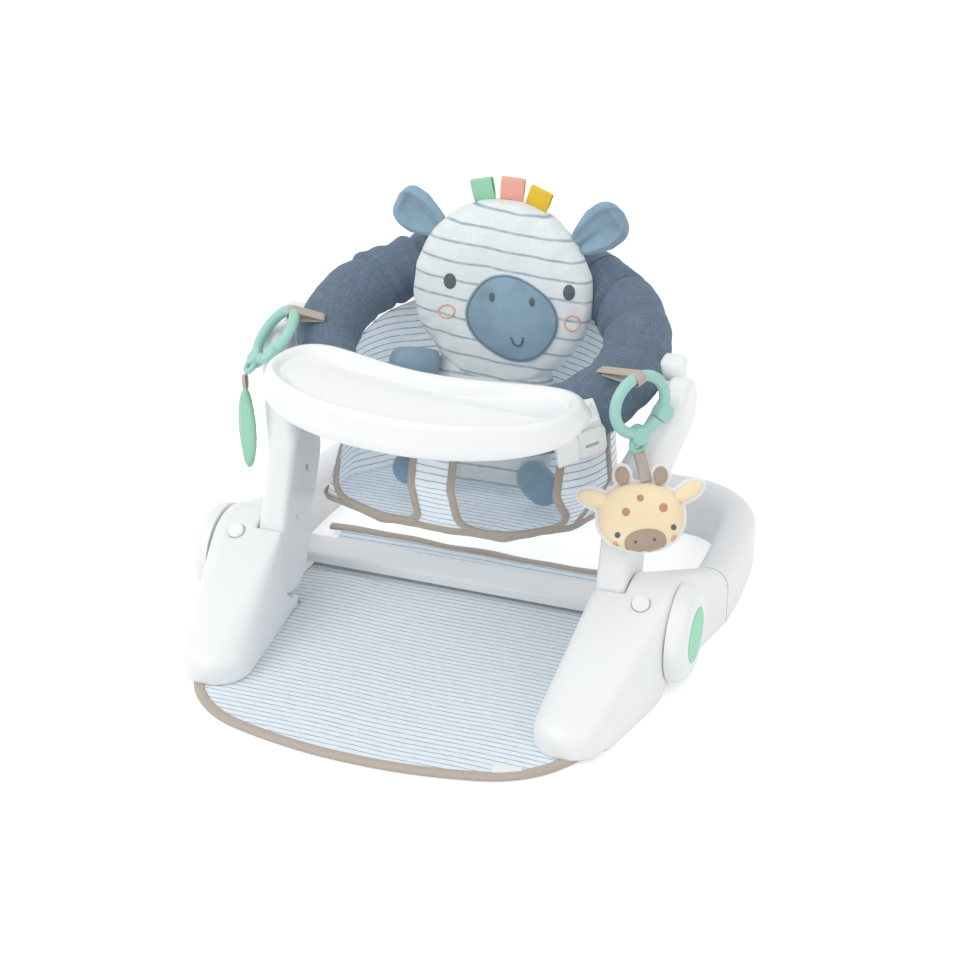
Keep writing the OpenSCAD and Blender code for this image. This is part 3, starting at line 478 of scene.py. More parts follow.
def apply_modifiers(piece):
    """Replaces the mesh by what the modifiers make of it."""
    bpy.context.view_layer.update()
    graph = bpy.context.evaluated_depsgraph_get()
    made = bpy.data.meshes.new_from_object(piece.evaluated_get(graph))
    piece.modifiers.clear()
    piece.data = made


def grid_faces(rows, cols, wrap=True, first=0):
    """Quads between rows of points; wrap joins each row's end to its start."""
    span = cols if wrap else cols - 1
    return [(first + i * cols + j, first + i * cols + (j + 1) % cols,
             first + (i + 1) * cols + (j + 1) % cols, first + (i + 1) * cols + j)
            for i in range(rows - 1) for j in range(span)]


def tube_faces(rows, count, closed=False):
    """A tube between rings of points, joined to its own start or closed by its end faces."""
    last = (rows - 1) * count
    faces = grid_faces(rows, count)
    if closed:
        return faces + [(last + j, last + (j + 1) % count, (j + 1) % count, j)
                        for j in range(count)]
    return faces + [tuple(range(count))[::-1], tuple(last + j for j in range(count))]


def fan(first, count, middle):
    """Triangles from a ring of points to its middle."""
    return [(first + j, first + (j + 1) % count, middle) for j in range(count)]


def slab_faces(rows, cols):
    """Two equal grids of points joined round their rim."""
    count = rows * cols
    faces = grid_faces(rows, cols, False)
    faces += [tuple(reversed(f)) for f in grid_faces(rows, cols, False, count)]
    rim = ([j for j in range(cols)] + [i * cols + cols - 1 for i in range(1, rows)]
           + [(rows - 1) * cols + j for j in range(cols - 2, -1, -1)]
           + [i * cols for i in range(rows - 2, 0, -1)])
    return faces + [(a, b, b + count, a + count) for a, b in zip(rim, rim[1:] + rim[:1])]


def even_out(piece, voxel):
    even = piece.modifiers.new("even", "REMESH")
    even.mode, even.voxel_size, even.use_smooth_shade = "VOXEL", voxel, True


def soften(piece, passes):
    smoother = piece.modifiers.new("soften", "SMOOTH")
    smoother.factor, smoother.iterations = 0.5, passes


def refine(piece):
    """Rounds the mesh by one step of subdivision."""
    finer = piece.modifiers.new("finer", "SUBSURF")
    finer.levels = finer.render_levels = 1
    apply_modifiers(piece)


def weld_and_refine(piece):
    """Joins the rim's doubled points and rounds the whole."""
    piece.modifiers.new("weld", "WELD").merge_threshold = 0.0002
    refine(piece)


def tree_of(piece):
    bpy.context.view_layer.update()
    return BVHTree.FromObject(piece, bpy.context.evaluated_depsgraph_get())


def sweep(name, spots, section, material, body, closed=False):
    """Carries a closed section along points; each has a normal for its second direction."""
    count, verts = len(spots), []
    for i, (point, normal) in enumerate(spots):
        before = spots[(i - 1) % count][0] if closed or i else point
        after = spots[(i + 1) % count][0] if closed or i < count - 1 else point
        run = (after - before).normalized()
        up = normal - run * normal.dot(run)
        up.normalize()
        side = run.cross(up)
        verts += [point + side * x + up * y for x, y in section]
    faces = tube_faces(count, len(section), closed)
    return add_piece(name, verts, faces, material, body)


def flat_section(width, thick):
    """Tape: flat, with rounded edges."""
    w, t = width / 2, thick / 2
    e = min(w, t) * 0.9
    return [(-w, 0), (-w + e * 0.35, t * 0.75), (-w + e, t), (0, t * 1.12), (w - e, t),
            (w - e * 0.35, t * 0.75), (w, 0), (w - e * 0.35, -t * 0.75), (w - e, -t), (0, -t),
            (-w + e, -t), (-w + e * 0.35, -t * 0.75)]


def round_section(radius, count=6):
    return [(radius * cos(q), radius * sin(q)) for q in around(count)]


def tape_loop(name, root, tip, face, width, material, body, fat=0.0024):
    """A tape folded over at its tip, whose two halves meet at the root."""
    run = tip - root
    long, up = run.length, run.normalized()
    side = (face - up * face.dot(up)).normalized()

    def half(turn, shares):
        return [(root + up * (t * (long - fat)) + side * (turn * fat * sin(
            pi / 2 * min(1, t * 1.6))), side * turn) for t in shares]

    shares = [i / 14 for i in range(15)]
    spots = half(1, shares)
    for i in range(1, 12):
        q = pi * i / 12
        spots.append((root + up * (long - fat + fat * sin(q)) + side * (fat * cos(q)),
                      side * cos(q) + up * sin(q)))
    spots += half(-1, shares[::-1])
    return sweep(name, spots, flat_section(width, 0.0011), material, body)


def smooth_path(points, steps=8, closed=False):
    """Catmull-Rom curve through the points."""
    n = len(points)
    made = []
    for i in range(n if closed else n - 1):
        quad = [points[(i + k) % n] if closed else points[min(max(i + k, 0), n - 1)]
                for k in (-1, 0, 1, 2)]
        for j in range(steps):
            t = j / steps
            made.append(0.5 * ((2 * quad[1]) + (quad[2] - quad[0]) * t
                               + (2 * quad[0] - 5 * quad[1] + 4 * quad[2] - quad[3]) * t * t
                               + (3 * quad[1] - quad[0] - 3 * quad[2] + quad[3]) * t ** 3))
    return made if closed else made + [points[-1]]


def inflate(piece, voxel, pressure, cap, frames=20):
    """Blows the mesh up as cloth, with each point's move capped, and smooths it."""
    even_out(piece, voxel)
    apply_modifiers(piece)
    rest = np.array([v.co for v in piece.data.vertices], float)
    scene = bpy.context.scene
    cloth = piece.modifiers.new("cloth", "CLOTH")
    cloth.settings.use_pressure = True
    cloth.settings.uniform_pressure_force = pressure
    cloth.settings.effector_weights.gravity = 0
    cloth.settings.quality = 4
    cloth.point_cache.frame_start, cloth.point_cache.frame_end = 1, frames
    for step in range(1, frames + 1):
        scene.frame_set(step)
    graph = bpy.context.evaluated_depsgraph_get()
    blown = np.array([v.co for v in piece.evaluated_get(graph).data.vertices], float)
    piece.modifiers.clear()
    scene.frame_set(1)
    move = blown - rest
    far = np.linalg.norm(move, axis=1, keepdims=True)
    rest += move * np.minimum(1, cap / np.maximum(far, 1e-9))
    piece.data.vertices.foreach_set("co", rest.ravel())
    piece.data.update()
    soften(piece, 3)
    refine(piece)
    piece.data.shade_smooth()


def lay_cloth(piece, origin, across, up):
    """Lays the mesh out by its distances from a point along two directions."""
    co = np.array([v.co for v in piece.data.vertices], float) - np.array(origin)
    lay_out(piece.data, np.stack([co @ np.array(across), co @ np.array(up)], 1))


# ---- The oval ring ----

def oval(a, b, end, count):
    """Points of the ring's oval, evenly spaced from its +X end, with outward normals."""
    wide = ((a - end) ** 2 + b * b - end * end) / (2 * (b - end))
    half = atan2(wide - b, a - end)
    arcs = [((a - end, 0), end, -half, half), ((0, b - wide), wide, half, pi - half),
            ((end - a, 0), end, pi - half, pi + half), ((0, wide - b), wide, pi + half,
                                                        2 * pi - half)]
    spans = [r * (q1 - q0) for _, r, q0, q1 in arcs]
    total = sum(spans)
    made = []
    for i in range(count):
        at = (i / count * total + spans[0] / 2) % total
        for (centre, r, q0, q1), span in zip(arcs, spans):
            if at <= span:
                q = q0 + at / r
                made.append((centre[0] + r * cos(q), centre[1] + r * sin(q), cos(q), sin(q)))
                break
            at -= span
    return made, total


TILT = radians(22)  # how far the ring's plane leans back


def ring_point(x, y, z=0.0):
    """From the ring's own plane to the seat's frame."""
    s = sizes()
    return Vector((x, s.ring_y + y * cos(TILT) - z * sin(TILT),
                   s.ring_z + y * sin(TILT) + z * cos(TILT)))


RING_UP = Vector((0, -sin(TILT), cos(TILT)))


class SEAT_OT_ring_cover(bpy.types.Operator):
    """Sews the gathered cloth cover round the padded ring"""
    bl_idname = "seat.ring_cover"
    bl_label = "Ring cover"

    # Gathers: share of the way round from the +X end, depth, width and slant.
    GATHERS = [(0.055, 2.2, 7, 0.5), (0.088, 4.2, 3.6, -0.9), (0.165, 1.6, 9, 0.4),
               (0.20, 1.6, 6, 0.2), (0.345, 1.6, 7, -0.4), (0.372, 6.0, 3.4, 0.7),
               (0.392, 2.4, 5, -0.4), (0.425, 5.0, 4, -0.8), (0.445, 2.0, 6, 0.5),
               (0.545, 1.6, 8, 0.4), (0.60, 1.4, 9, -0.3), (0.90, 1.5, 8, 0.5),
               (0.955, 1.6, 7, -0.4), (0.985, 3.0, 5, 0.6)]
    # Seams: share of the way round and slant.
    SEAMS = [(0.137, 0.5), (0.36, -0.4), (0.62, 0.2), (0.88, -0.2)]
    ALONG, ROUND = 420, 44
    UNDER_TRAY = 0.0055
    FLAT_BELOW = 0.006

    def execute(self, context):
        s = sizes()
        track, total = oval(s.ring_a, s.ring_b, s.ring_end, self.ALONG)
        verts, uvs = [], []
        for i, (x, y, nx, ny) in enumerate(track):
            share = i / self.ALONG
            for q in around(self.ROUND):
                r = self.radius(share, q, total, x, y)
                verts.append(ring_point(x + nx * r * cos(q), y + ny * r * cos(q), r * sin(q)))
                uvs.append((share * total, s.pad_r * q))
        piece = add_piece("ring_cover", verts, tube_faces(self.ALONG, self.ROUND, True),
                          "denim", "seat", uvs)
        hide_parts("ring_padding")
        self.seams(track, total)
        return {"FINISHED"}

    def radius(self, share, q, total, x, y):
        """The cloth's distance from the tube's centre: flatter below and under the tray."""
        flat = self.FLAT_BELOW * max(0.0, -sin(q)) ** 1.5
        under = within((-0.015 - y) / 0.04) * within((0.115 - x) / 0.05)
        return sizes().pad_r + self.relief(share, q, total) - flat - self.UNDER_TRAY * under

    def relief(self, share, q, total):
        """How far the cloth stands off the tube, in metres."""
        depth = 0.0
        for at, deep, wide, slant in self.GATHERS:
            away = (share - at + 0.5) % 1 - 0.5
            away = away * total / MM - slant * 14 * sin(q + at * 40)
            reach = 0.45 + 0.55 * (0.5 + 0.5 * cos(q - 2.2 - at * 9))
            depth -= deep * reach * np.exp(-(away / wide) ** 2)
            depth += 0.45 * deep * reach * np.exp(-((abs(away) - 2.1 * wide) / (1.3 * wide)) ** 2)
        x, y = cos(2 * pi * share), sin(2 * pi * share)
        soft = noise.noise(Vector((x * 3, y * 3, cos(q) * 0.8))) * 1.2
        crease = noise.noise(Vector((x * 14 + cos(q), y * 14 + sin(q), sin(q) * 1.4))) * 0.8
        return (depth + soft + crease - 0.5) * MM

    def seams(self, track, total):
        """Stitched seams across the tube where the panels meet."""
        for k, (at, lean) in enumerate(self.SEAMS):
            spots = []
            for q in around(48):
                share = (at + lean * 0.010 * sin(q)) % 1
                x, y, nx, ny = track[int(share * self.ALONG) % self.ALONG]
                out = Vector((nx * cos(q), ny * cos(q) * cos(TILT) - sin(q) * sin(TILT),
                              ny * cos(q) * sin(TILT) + sin(q) * cos(TILT)))
                r = self.radius(share, q, total, x, y) + 0.0001
                spots.append((ring_point(x, y) + out * r, out))
            sweep(f"ring_seam_{k}", spots, round_section(0.0006), "seam", "seat",
                  closed=True)


# ---- Seat pouch ----

POUCH_MIDDLE = Vector((-0.009, 0.037, 0))
# Half width, half length and end radius of the floor's first shape and of the wall's waist.
FLOOR_OVAL, WAIST_OVAL = (0.145, 0.064, 0.058), (0.148, 0.098, 0.080)
WAIST_Z, WAIST_SHARE = 0.165, 0.55
# Soft corners of the floor, anticlockwise from the right.
POUCH_CORNERS = [(0.136, 0.092), (0.111, 0.027), (0.052, -0.023), (-0.080, -0.025),
                 (-0.160, 0.004), (-0.156, 0.060), (-0.120, 0.098), (0.0, 0.103), (0.110, 0.101)]


def pouch_floor(count):
    """Outline of the pouch's floor: a bag with soft corners."""
    rim = []
    for k, corner in enumerate(POUCH_CORNERS):
        after = POUCH_CORNERS[(k + 1) % len(POUCH_CORNERS)]
        rim += [Vector(corner).lerp(Vector(after), i / 12) - POUCH_MIDDLE.xy for i in range(12)]
    rim.sort(key=lambda p: atan2(p.y, p.x))
    angles, radii = [atan2(p.y, p.x) for p in rim], [p.length for p in rim]
    shape, _ = oval(*FLOOR_OVAL, count)
    turns = [atan2(y, x) for x, y, _, _ in shape]
    far = np.interp(turns, angles, radii, period=2 * pi)
    for _ in range(3):
        far = (np.roll(far, 1) + far * 2 + np.roll(far, -1)) / 4
    return [(d * cos(q), d * sin(q)) for d, q in zip(far, turns)]


def pouch_wall(count, rows):
    """Rows of points from under the ring down to the floor's edge."""
    s = sizes()
    inset = s.pouch_in
    drop = (max(0.0, (s.pad_r - 0.0027) ** 2 - inset ** 2)) ** 0.5
    top, _ = oval(s.ring_a - inset, s.ring_b - inset, s.ring_end - inset, count)
    mid, _ = oval(*WAIST_OVAL, count)
    low = pouch_floor(count)
    made = []
    for i in range(rows):
        t = i / (rows - 1)
        row = []
        for k in range(count):
            p0 = ring_point(top[k][0], top[k][1], -drop)
            p1 = Vector((mid[k][0], s.ring_y - 0.005 + mid[k][1], WAIST_Z))
            p2 = POUCH_MIDDLE + Vector((*low[k], s.pouch_z))
            spot = (p0.lerp(p1, t / WAIST_SHARE) if t < WAIST_SHARE
                    else p1.lerp(p2, (t - WAIST_SHARE) / (1 - WAIST_SHARE)))
            pull = Vector((top[k][2], top[k][3], 0))
            sag = 0.0022 * sin(pi * min(1, t / WAIST_SHARE)) + 0.0020 * noise.noise(
                Vector((k / count * 18, t * 4, 1.7)))
            row.append(spot - pull * (sag + 0.0012))
        made.append(row)
    return made


class SEAT_OT_pouch(bpy.types.Operator):
    """Hangs the striped pouch with its leg openings, crotch panel and bindings"""
    bl_idname = "seat.pouch"
    bl_label = "Seat pouch"

    AROUND, DOWN, FLOOR = 200, 30, 9
    # Leg openings: inner edge, lower edge, corner radius, and outer edge on each side.
    LEG_IN, LEG_Z, LEG_R = 0.0245, 0.114, 0.015
    LEG_OUT = {-1: 0.140, 1: 0.105}
    CROTCH_X = -0.0155  # the crotch panel's middle
    CUT_FROM, CUT_TO, CUT_TOP = -0.2, 0.030, 0.32  # the openings' cut in Y, and its top
    # Tapes: width and thickness.
    FLOOR_TAPE, SIDE_TAPE = (0.0095, 0.0030), (0.0075, 0.0026)
    SIDE_SEAMS = [(1, 0.985), (-1, 0.525)]  # side, and share of the way round

    def execute(self, context):
        s = sizes()
        rows = pouch_wall(self.AROUND, self.DOWN)
        low = rows[-1]
        middle = POUCH_MIDDLE + Vector((0, 0, s.pouch_z))
        for i in range(1, self.FLOOR + 1):
            share = 1 - i / (self.FLOOR + 0.4)
            rows.append([middle + (p - middle) * share + UP * (0.0012 * (1 - share))
                         for p in low])
        verts = [p for row in rows for p in row]
        faces = grid_faces(len(rows), self.AROUND)
        faces += fan(len(verts) - self.AROUND, self.AROUND, len(verts))
        verts.append(middle)
        piece = add_piece("pouch_sling", verts, faces, "pouch", "seat")
        skin = piece.modifiers.new("skin", "SOLIDIFY")
        skin.thickness, skin.offset = s.fabric_t, -1
        apply_modifiers(piece)
        wall = tree_of(piece)
        cutters = [self.leg_cutter(side) for side in (-1, 1)]
        for cutter in cutters:
            cut = piece.modifiers.new("leg", "BOOLEAN")
            cut.operation, cut.object, cut.solver = "DIFFERENCE", cutter, "EXACT"
        apply_modifiers(piece)
        for cutter in cutters:
            bpy.data.objects.remove(cutter)
        self.stripe_by_facing(piece)
        piece.data.shade_smooth()
        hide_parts("seat_pouch", "crotch_panel")
        leg_tapes = [self.leg_tape(side, wall) for side in (-1, 1)]
        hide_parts("leg_binding")
        edges = self.edge_tapes(rows)
        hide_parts("pouch_piping")
        for part in (piece, *leg_tapes, *edges):
            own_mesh(part)
        return {"FINISHED"}

    def stripe_by_facing(self, piece):
        """Stripes lie level on the wall and run across the floor."""
        mesh = piece.data
        layer = mesh.uv_layers.new(name="cloth")
        for face in mesh.polygons:
            flat = abs(face.normal.z) > 0.75 and face.center.z < sizes().pouch_z + 0.008
            for k in face.loop_indices:
                co = mesh.vertices[mesh.loops[k].vertex_index].co
                layer.data[k].uv = (co.x, co.y if flat else co.z)

    def leg_outline(self, side, grow=0.0):
        """Opening seen from the front: up one side, round the bottom and up the other."""
        r = self.LEG_R
        x0, x1 = self.LEG_IN, self.LEG_OUT[side]
        points = [(x0 - grow, 0.235 - 0.02 * k) for k in range(6)]
        for corner_x, first in ((x0 + r, 180), (x1 - r, 270)):
            for q in range(first, first + 91, 15):
                points.append((corner_x + (r + grow) * cos(radians(q)),
                               self.LEG_Z + r + (r + grow) * sin(radians(q))))
        points += [(x1 + grow, 0.145 + 0.02 * k) for k in range(5)]
        return [(side * x + self.CROTCH_X * max(0.0, 1 - max(0.0, x - x0) / 0.07), z)
                for x, z in points]

    def leg_cutter(self, side):
        outline = self.leg_outline(side)
        outline += [(outline[-1][0], self.CUT_TOP), (outline[0][0], self.CUT_TOP)]
        verts = [(x, y, z) for y in (self.CUT_FROM, self.CUT_TO) for x, z in outline]
        mesh = bpy.data.meshes.new("leg_cutter")
        mesh.from_pydata(verts, [], tube_faces(2, len(outline)))
        cutter = bpy.data.objects.new("leg_cutter", mesh)
        bpy.context.scene.collection.objects.link(cutter)
        fix_normals(cutter)
        return cutter

    def leg_tape(self, side, wall):
        """Tape round one leg opening, on the pouch's surface."""
        coarse = [Vector((x, 0, z)) for x, z in self.leg_outline(side, 0.0028)]
        spots = []
        for p in smooth_path(coarse, 6):
            hit, normal, _, _ = wall.ray_cast(Vector((p.x, self.CUT_FROM, p.z)),
                                              Vector((0, 1, 0)))
            if hit is None:
                continue
            if normal.y > 0:
                normal = -normal
            wobble = noise.noise(Vector((p.x * 60, p.z * 60, side))) * 0.0004
            spots.append((hit + normal * (0.0004 + wobble), normal))
        return sweep(sided("leg_tape", side), spots, flat_section(sizes().tape_w, 0.0040),
                     "taupe", "seat")

    def edge_tapes(self, rows):
        """Tape round the floor's edge, and up each side seam."""
        wall = rows[:self.DOWN]
        spots = []
        for k, p in enumerate(wall[-1]):
            out = (p - POUCH_MIDDLE) * Vector((1, 1, 0))
            out.normalize()
            wobble = noise.noise(Vector((k * 0.21, 0.4, 2))) * 0.0012
            spots.append((p + out * 0.0012 + UP * (0.001 + wobble),
                          (out - UP * 0.35).normalized()))
        tapes = [sweep("floor_tape", spots, flat_section(*self.FLOOR_TAPE), "taupe", "seat",
                       closed=True)]
        for side, share in self.SIDE_SEAMS:
            k = int(share * self.AROUND)
            spots = []
            for row in wall[2:]:
                p = row[k]
                out = (row[(k + 1) % self.AROUND] - row[k - 1]).cross(UP).normalized()
                if out.dot(Vector((p.x, p.y, 0))) < 0:
                    out = -out
                spots.append((p + out * 0.0008, out))
            tapes.append(sweep(sided("side_tape", side), spots, flat_section(*self.SIDE_TAPE),
                               "taupe", "seat"))
        return tapes


# ---- Plush pillow ----

HEAD_AT = Vector((0.007, 0.097, 0.324))
LEAN = 8  # degrees that the pillow leans back
HEAD_TURN = spun(90 - LEAN, "X") @ spun(-4, "Z")


def on_head(x, y, z=0.0):
    return HEAD_AT + HEAD_TURN @ Vector((x, y, z))


def seen_ellipse(centre, radii, turn, count=40, power=2.0, grow=1.0):
    """Pixels round an ellipse of the photograph; power above 2 squares it a little."""
    made = []
    for q in around(count):
        x = radii[0] * grow * signed_power(cos(q), 2 / power)
        y = radii[1] * grow * signed_power(sin(q), 2 / power)
        made.append((centre[0] + x * cos(turn) - y * sin(turn),
                     centre[1] + x * sin(turn) + y * cos(turn)))
    return made


def appliqued(name, tree, outline, centre, material, body, edge, dome, rings=6):
    """A patch on a surface: outline in pixels, with an edge that stands up and a domed middle."""
    steps = [(1.0, -0.0006), (1.0, edge * 0.6), (0.975, edge)]
    steps += [(share, edge + dome * (1 - share * share)) for share in
              [0.93 * (1 - k / rings) for k in range(rings)]]
    verts = []
    for share, lift in steps:
        for px, py in outline:
            hit, normal = seen_on(tree, centre[0] + (px - centre[0]) * share,
                                  centre[1] + (py - centre[1]) * share)
            verts.append(hit + normal * lift)
    n = len(outline)
    faces = grid_faces(len(steps), n) + fan(len(verts) - n, n, len(verts))
    faces.append(tuple(range(n))[::-1])
    hit, normal = seen_on(tree, *centre)
    verts.append(hit + normal * (edge + dome))
    return add_piece(name, verts, faces, material, body)


def thread_on(name, tree, pixels, radius, material, body, closed=False):
    """A stitched line through pixels of the photograph."""
    hits = [seen_on(tree, px, py) for px, py in pixels]
    spots = [(hit + normal * radius * 0.5, normal) for hit, normal in hits]
    return sweep(name, spots, round_section(radius), material, body, closed)


class SEAT_OT_pillow_head(bpy.types.Operator):
    """Stuffs the pillow's round head and sews on its face, ears and ribbons"""
    bl_idname = "seat.pillow_head"
    bl_label = "Pillow head"

    MUZZLE, MUZZLE_R, MUZZLE_TURN = (512, 318), (47, 39), radians(34)
    EYES = [((450.0, 281.0), (6.1, 7.9), radians(-4)), ((569.0, 292.5), (5.9, 7.9), radians(2))]
    CHEEKS = [((447, 311), (8.0, 6.4)), ((572, 323), (7.6, 7.6))]
    NOSTRILS = [((492, 297), (2.8, 4.6)), ((532, 302), (2.8, 4.6))]
    SMILE = [(511, 337), (513, 343), (517, 346), (521, 345), (523, 341), (523, 337.5)]

    # Ears: side, place on the head and turn; half widths, half thickness and length.
    EARS = [(-1, -0.080, 0.056, 69), (1, 0.076, 0.066, -46)]
    EAR_ROOT, EAR_SPREAD, EAR_HALF_T, EAR_LONG = 0.0115, 0.0125, 0.0038, 0.058
    EAR_ROWS, EAR_COLS = 22, 17
    # Ribbons: turn round the head, look, lean and height.
    RIBBONS = [(18.5, "green_ribbon", -8, 0.0180), (1.5, "peach_ribbon", 4, 0.0185),
               (-14.5, "yellow_ribbon", -6, 0.0155)]
    RIBBON_W, RIBBON_SEWN = 0.0245, 0.004

    def execute(self, context):
        p = pillow()
        head = self.cushion(p.head_r - 0.003, p.head_t - 0.004)
        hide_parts("pillow_head")
        tree = tree_of(head)
        patch = seen_ellipse(self.MUZZLE, self.MUZZLE_R, self.MUZZLE_TURN, 56, 2.35)
        muzzle = appliqued("pillow_muzzle_pad", tree, patch, self.MUZZLE, "plush", "seat",
                           0.0022, 0.0035, 8)
        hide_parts("pillow_muzzle")
        on_muzzle = tree_of(muzzle)
        thread_on("muzzle_stitch", on_muzzle,
                  seen_ellipse(self.MUZZLE, self.MUZZLE_R, self.MUZZLE_TURN, 90, 2.35, 0.955),
                  0.0006, "blue_thread", "seat", True)
        for k, (centre, radii, turn) in enumerate(self.EYES):
            appliqued(f"pillow_eye_{k}", tree, seen_ellipse(centre, radii, turn, 28), centre,
                      "dark", "seat", 0.0008, 0.0006, 3)
        for k, (centre, radii) in enumerate(self.CHEEKS):
            thread_on(f"pillow_cheek_{k}", tree, seen_ellipse(centre, radii, 0, 28), 0.0009,
                      "pink", "seat", True)
        for k, (centre, radii) in enumerate(self.NOSTRILS):
            appliqued(f"pillow_nostril_{k}", on_muzzle, seen_ellipse(centre, radii, 0, 20),
                      centre, "dark", "seat", 0.0006, 0.0004, 2)
        thread_on("pillow_smile", on_muzzle, self.SMILE, 0.0009, "dark", "seat")
        self.ears()
        self.ribbons()
        return {"FINISHED"}

    def cushion(self, radius, thick):
        """Two round panels sewn at the rim, stuffed."""
        verts, rings, count = [], 14, 72
        profile = [(radius * sin(pi / 2 * k / rings), thick / 2 * (1 - (k / rings) ** 3.2) ** 0.5)
                   for k in range(rings + 1)]
        rows = profile[1:] + [(r, -z) for r, z in reversed(profile[1:-1])]
        for r, z in rows:
            for q in around(count):
                pucker = 1 + 0.006 * cos(17 * q) * (r / radius) ** 8
                verts.append(on_head(r * pucker * cos(q), r * pucker * sin(q), z))
        verts += [on_head(0, 0, thick / 2), on_head(0, 0, -thick / 2)]
        faces = grid_faces(len(rows), count)
        faces += fan(0, count, len(verts) - 2)
        faces += fan((len(rows) - 1) * count, count, len(verts) - 1)
        piece = add_piece("pillow_head_cushion", verts, faces, "head", "seat")
        inflate(piece, 0.0045, 4.0, 0.004)
        self.pucker(piece)
        lay_cloth(piece, HEAD_AT, HEAD_TURN @ Vector((1, 0, 0)), HEAD_TURN @ Vector((0, 1, 0)))
        return piece

    def pucker(self, piece):
        """Soft dents where the stuffing gives way, and small pleats at the rim."""
        radius = pillow().head_r
        back = HEAD_TURN.transposed()
        for v in piece.data.vertices:
            local = back @ (v.co - HEAD_AT)
            out = hypot(local.x, local.y) / radius
            dent = noise.noise(Vector((local.x * 44, local.y * 9, 0.3))) * 0.0024
            pleat = cos(23 * atan2(local.y, local.x)) * 0.0011 * max(0, out - 0.62) ** 1.2 * 3
            local.z += (dent + pleat) * (1 if local.z > 0 else -1) * min(1, (1.02 - out) * 6)
            v.co = HEAD_AT + HEAD_TURN @ local

    def ears(self):
        """Two petal ears with a deep pleat at the root."""
        for side, x, y, turn in self.EARS:
            verts = []
            for face in (1, -1):
                for i in range(self.EAR_ROWS):
                    t = i / (self.EAR_ROWS - 1)
                    half = self.EAR_ROOT + self.EAR_SPREAD * min(1.0, t / 0.48) ** 0.8
                    half *= arch(max(0.0, (t - 0.66) / 0.34), 2.3)
                    tip = arch(max(0.0, (t - 0.86) / 0.14), 2)
                    for j in range(self.EAR_COLS):
                        u = 2 * j / (self.EAR_COLS - 1) - 1
                        roll = 0.0078 * np.exp(-((abs(u) - 0.72) / 0.17) ** 2) * min(1, t * 3)
                        roll += 0.0066 * np.exp(-((t - 0.87) / 0.07) ** 2) * (1 - abs(u) ** 2)
                        dip = 0.0060 * np.exp(-((u - 0.12) / 0.11) ** 2) * max(0, 1 - t * 1.15)
                        stuffing = self.EAR_HALF_T * tip + (roll * tip - dip if face > 0 else 0)
                        verts.append((u * half, -0.006 + self.EAR_LONG * t,
                                      face * stuffing * arch(u, 3) - 0.007 * t * t))
            spin = spun(turn, "Z")
            world = [on_head(*(Vector((x, y, 0)) + spin @ Vector(v))) for v in verts]
            ear = add_piece(sided("pillow_ear", side), world,
                            slab_faces(self.EAR_ROWS, self.EAR_COLS), "plush", "seat")
            weld_and_refine(ear)
            if side < 0:
                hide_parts("pillow_ears")

    def ribbons(self):
        """Three folded ribbon loops sewn into the crown."""
        for k, (turn, look, lean, tall) in enumerate(self.RIBBONS):
            spin = spun(turn, "Z")
            up = HEAD_TURN @ spin @ Vector((0, 1, 0))
            face = HEAD_TURN @ spin @ spun(lean, "Y") @ UP
            root = on_head(*(spin @ Vector((0, pillow().head_r - self.RIBBON_SEWN, 0))))
            piece = tape_loop(f"pillow_ribbon_{k}", root, root + up * (tall + self.RIBBON_SEWN),
                              face, self.RIBBON_W, look, "seat")
            if not k:
                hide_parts("pillow_ribbons")


BODY_AT = Vector((0, 0.071, 0.1085))
BODY_TURN = spun(90 - LEAN, "X")


def on_body(x, y, z=0.0):
    lift = pillow().body_t / 2 * sin(radians(LEAN))
    return BODY_AT + BODY_TURN @ Vector((x, y + lift, z))


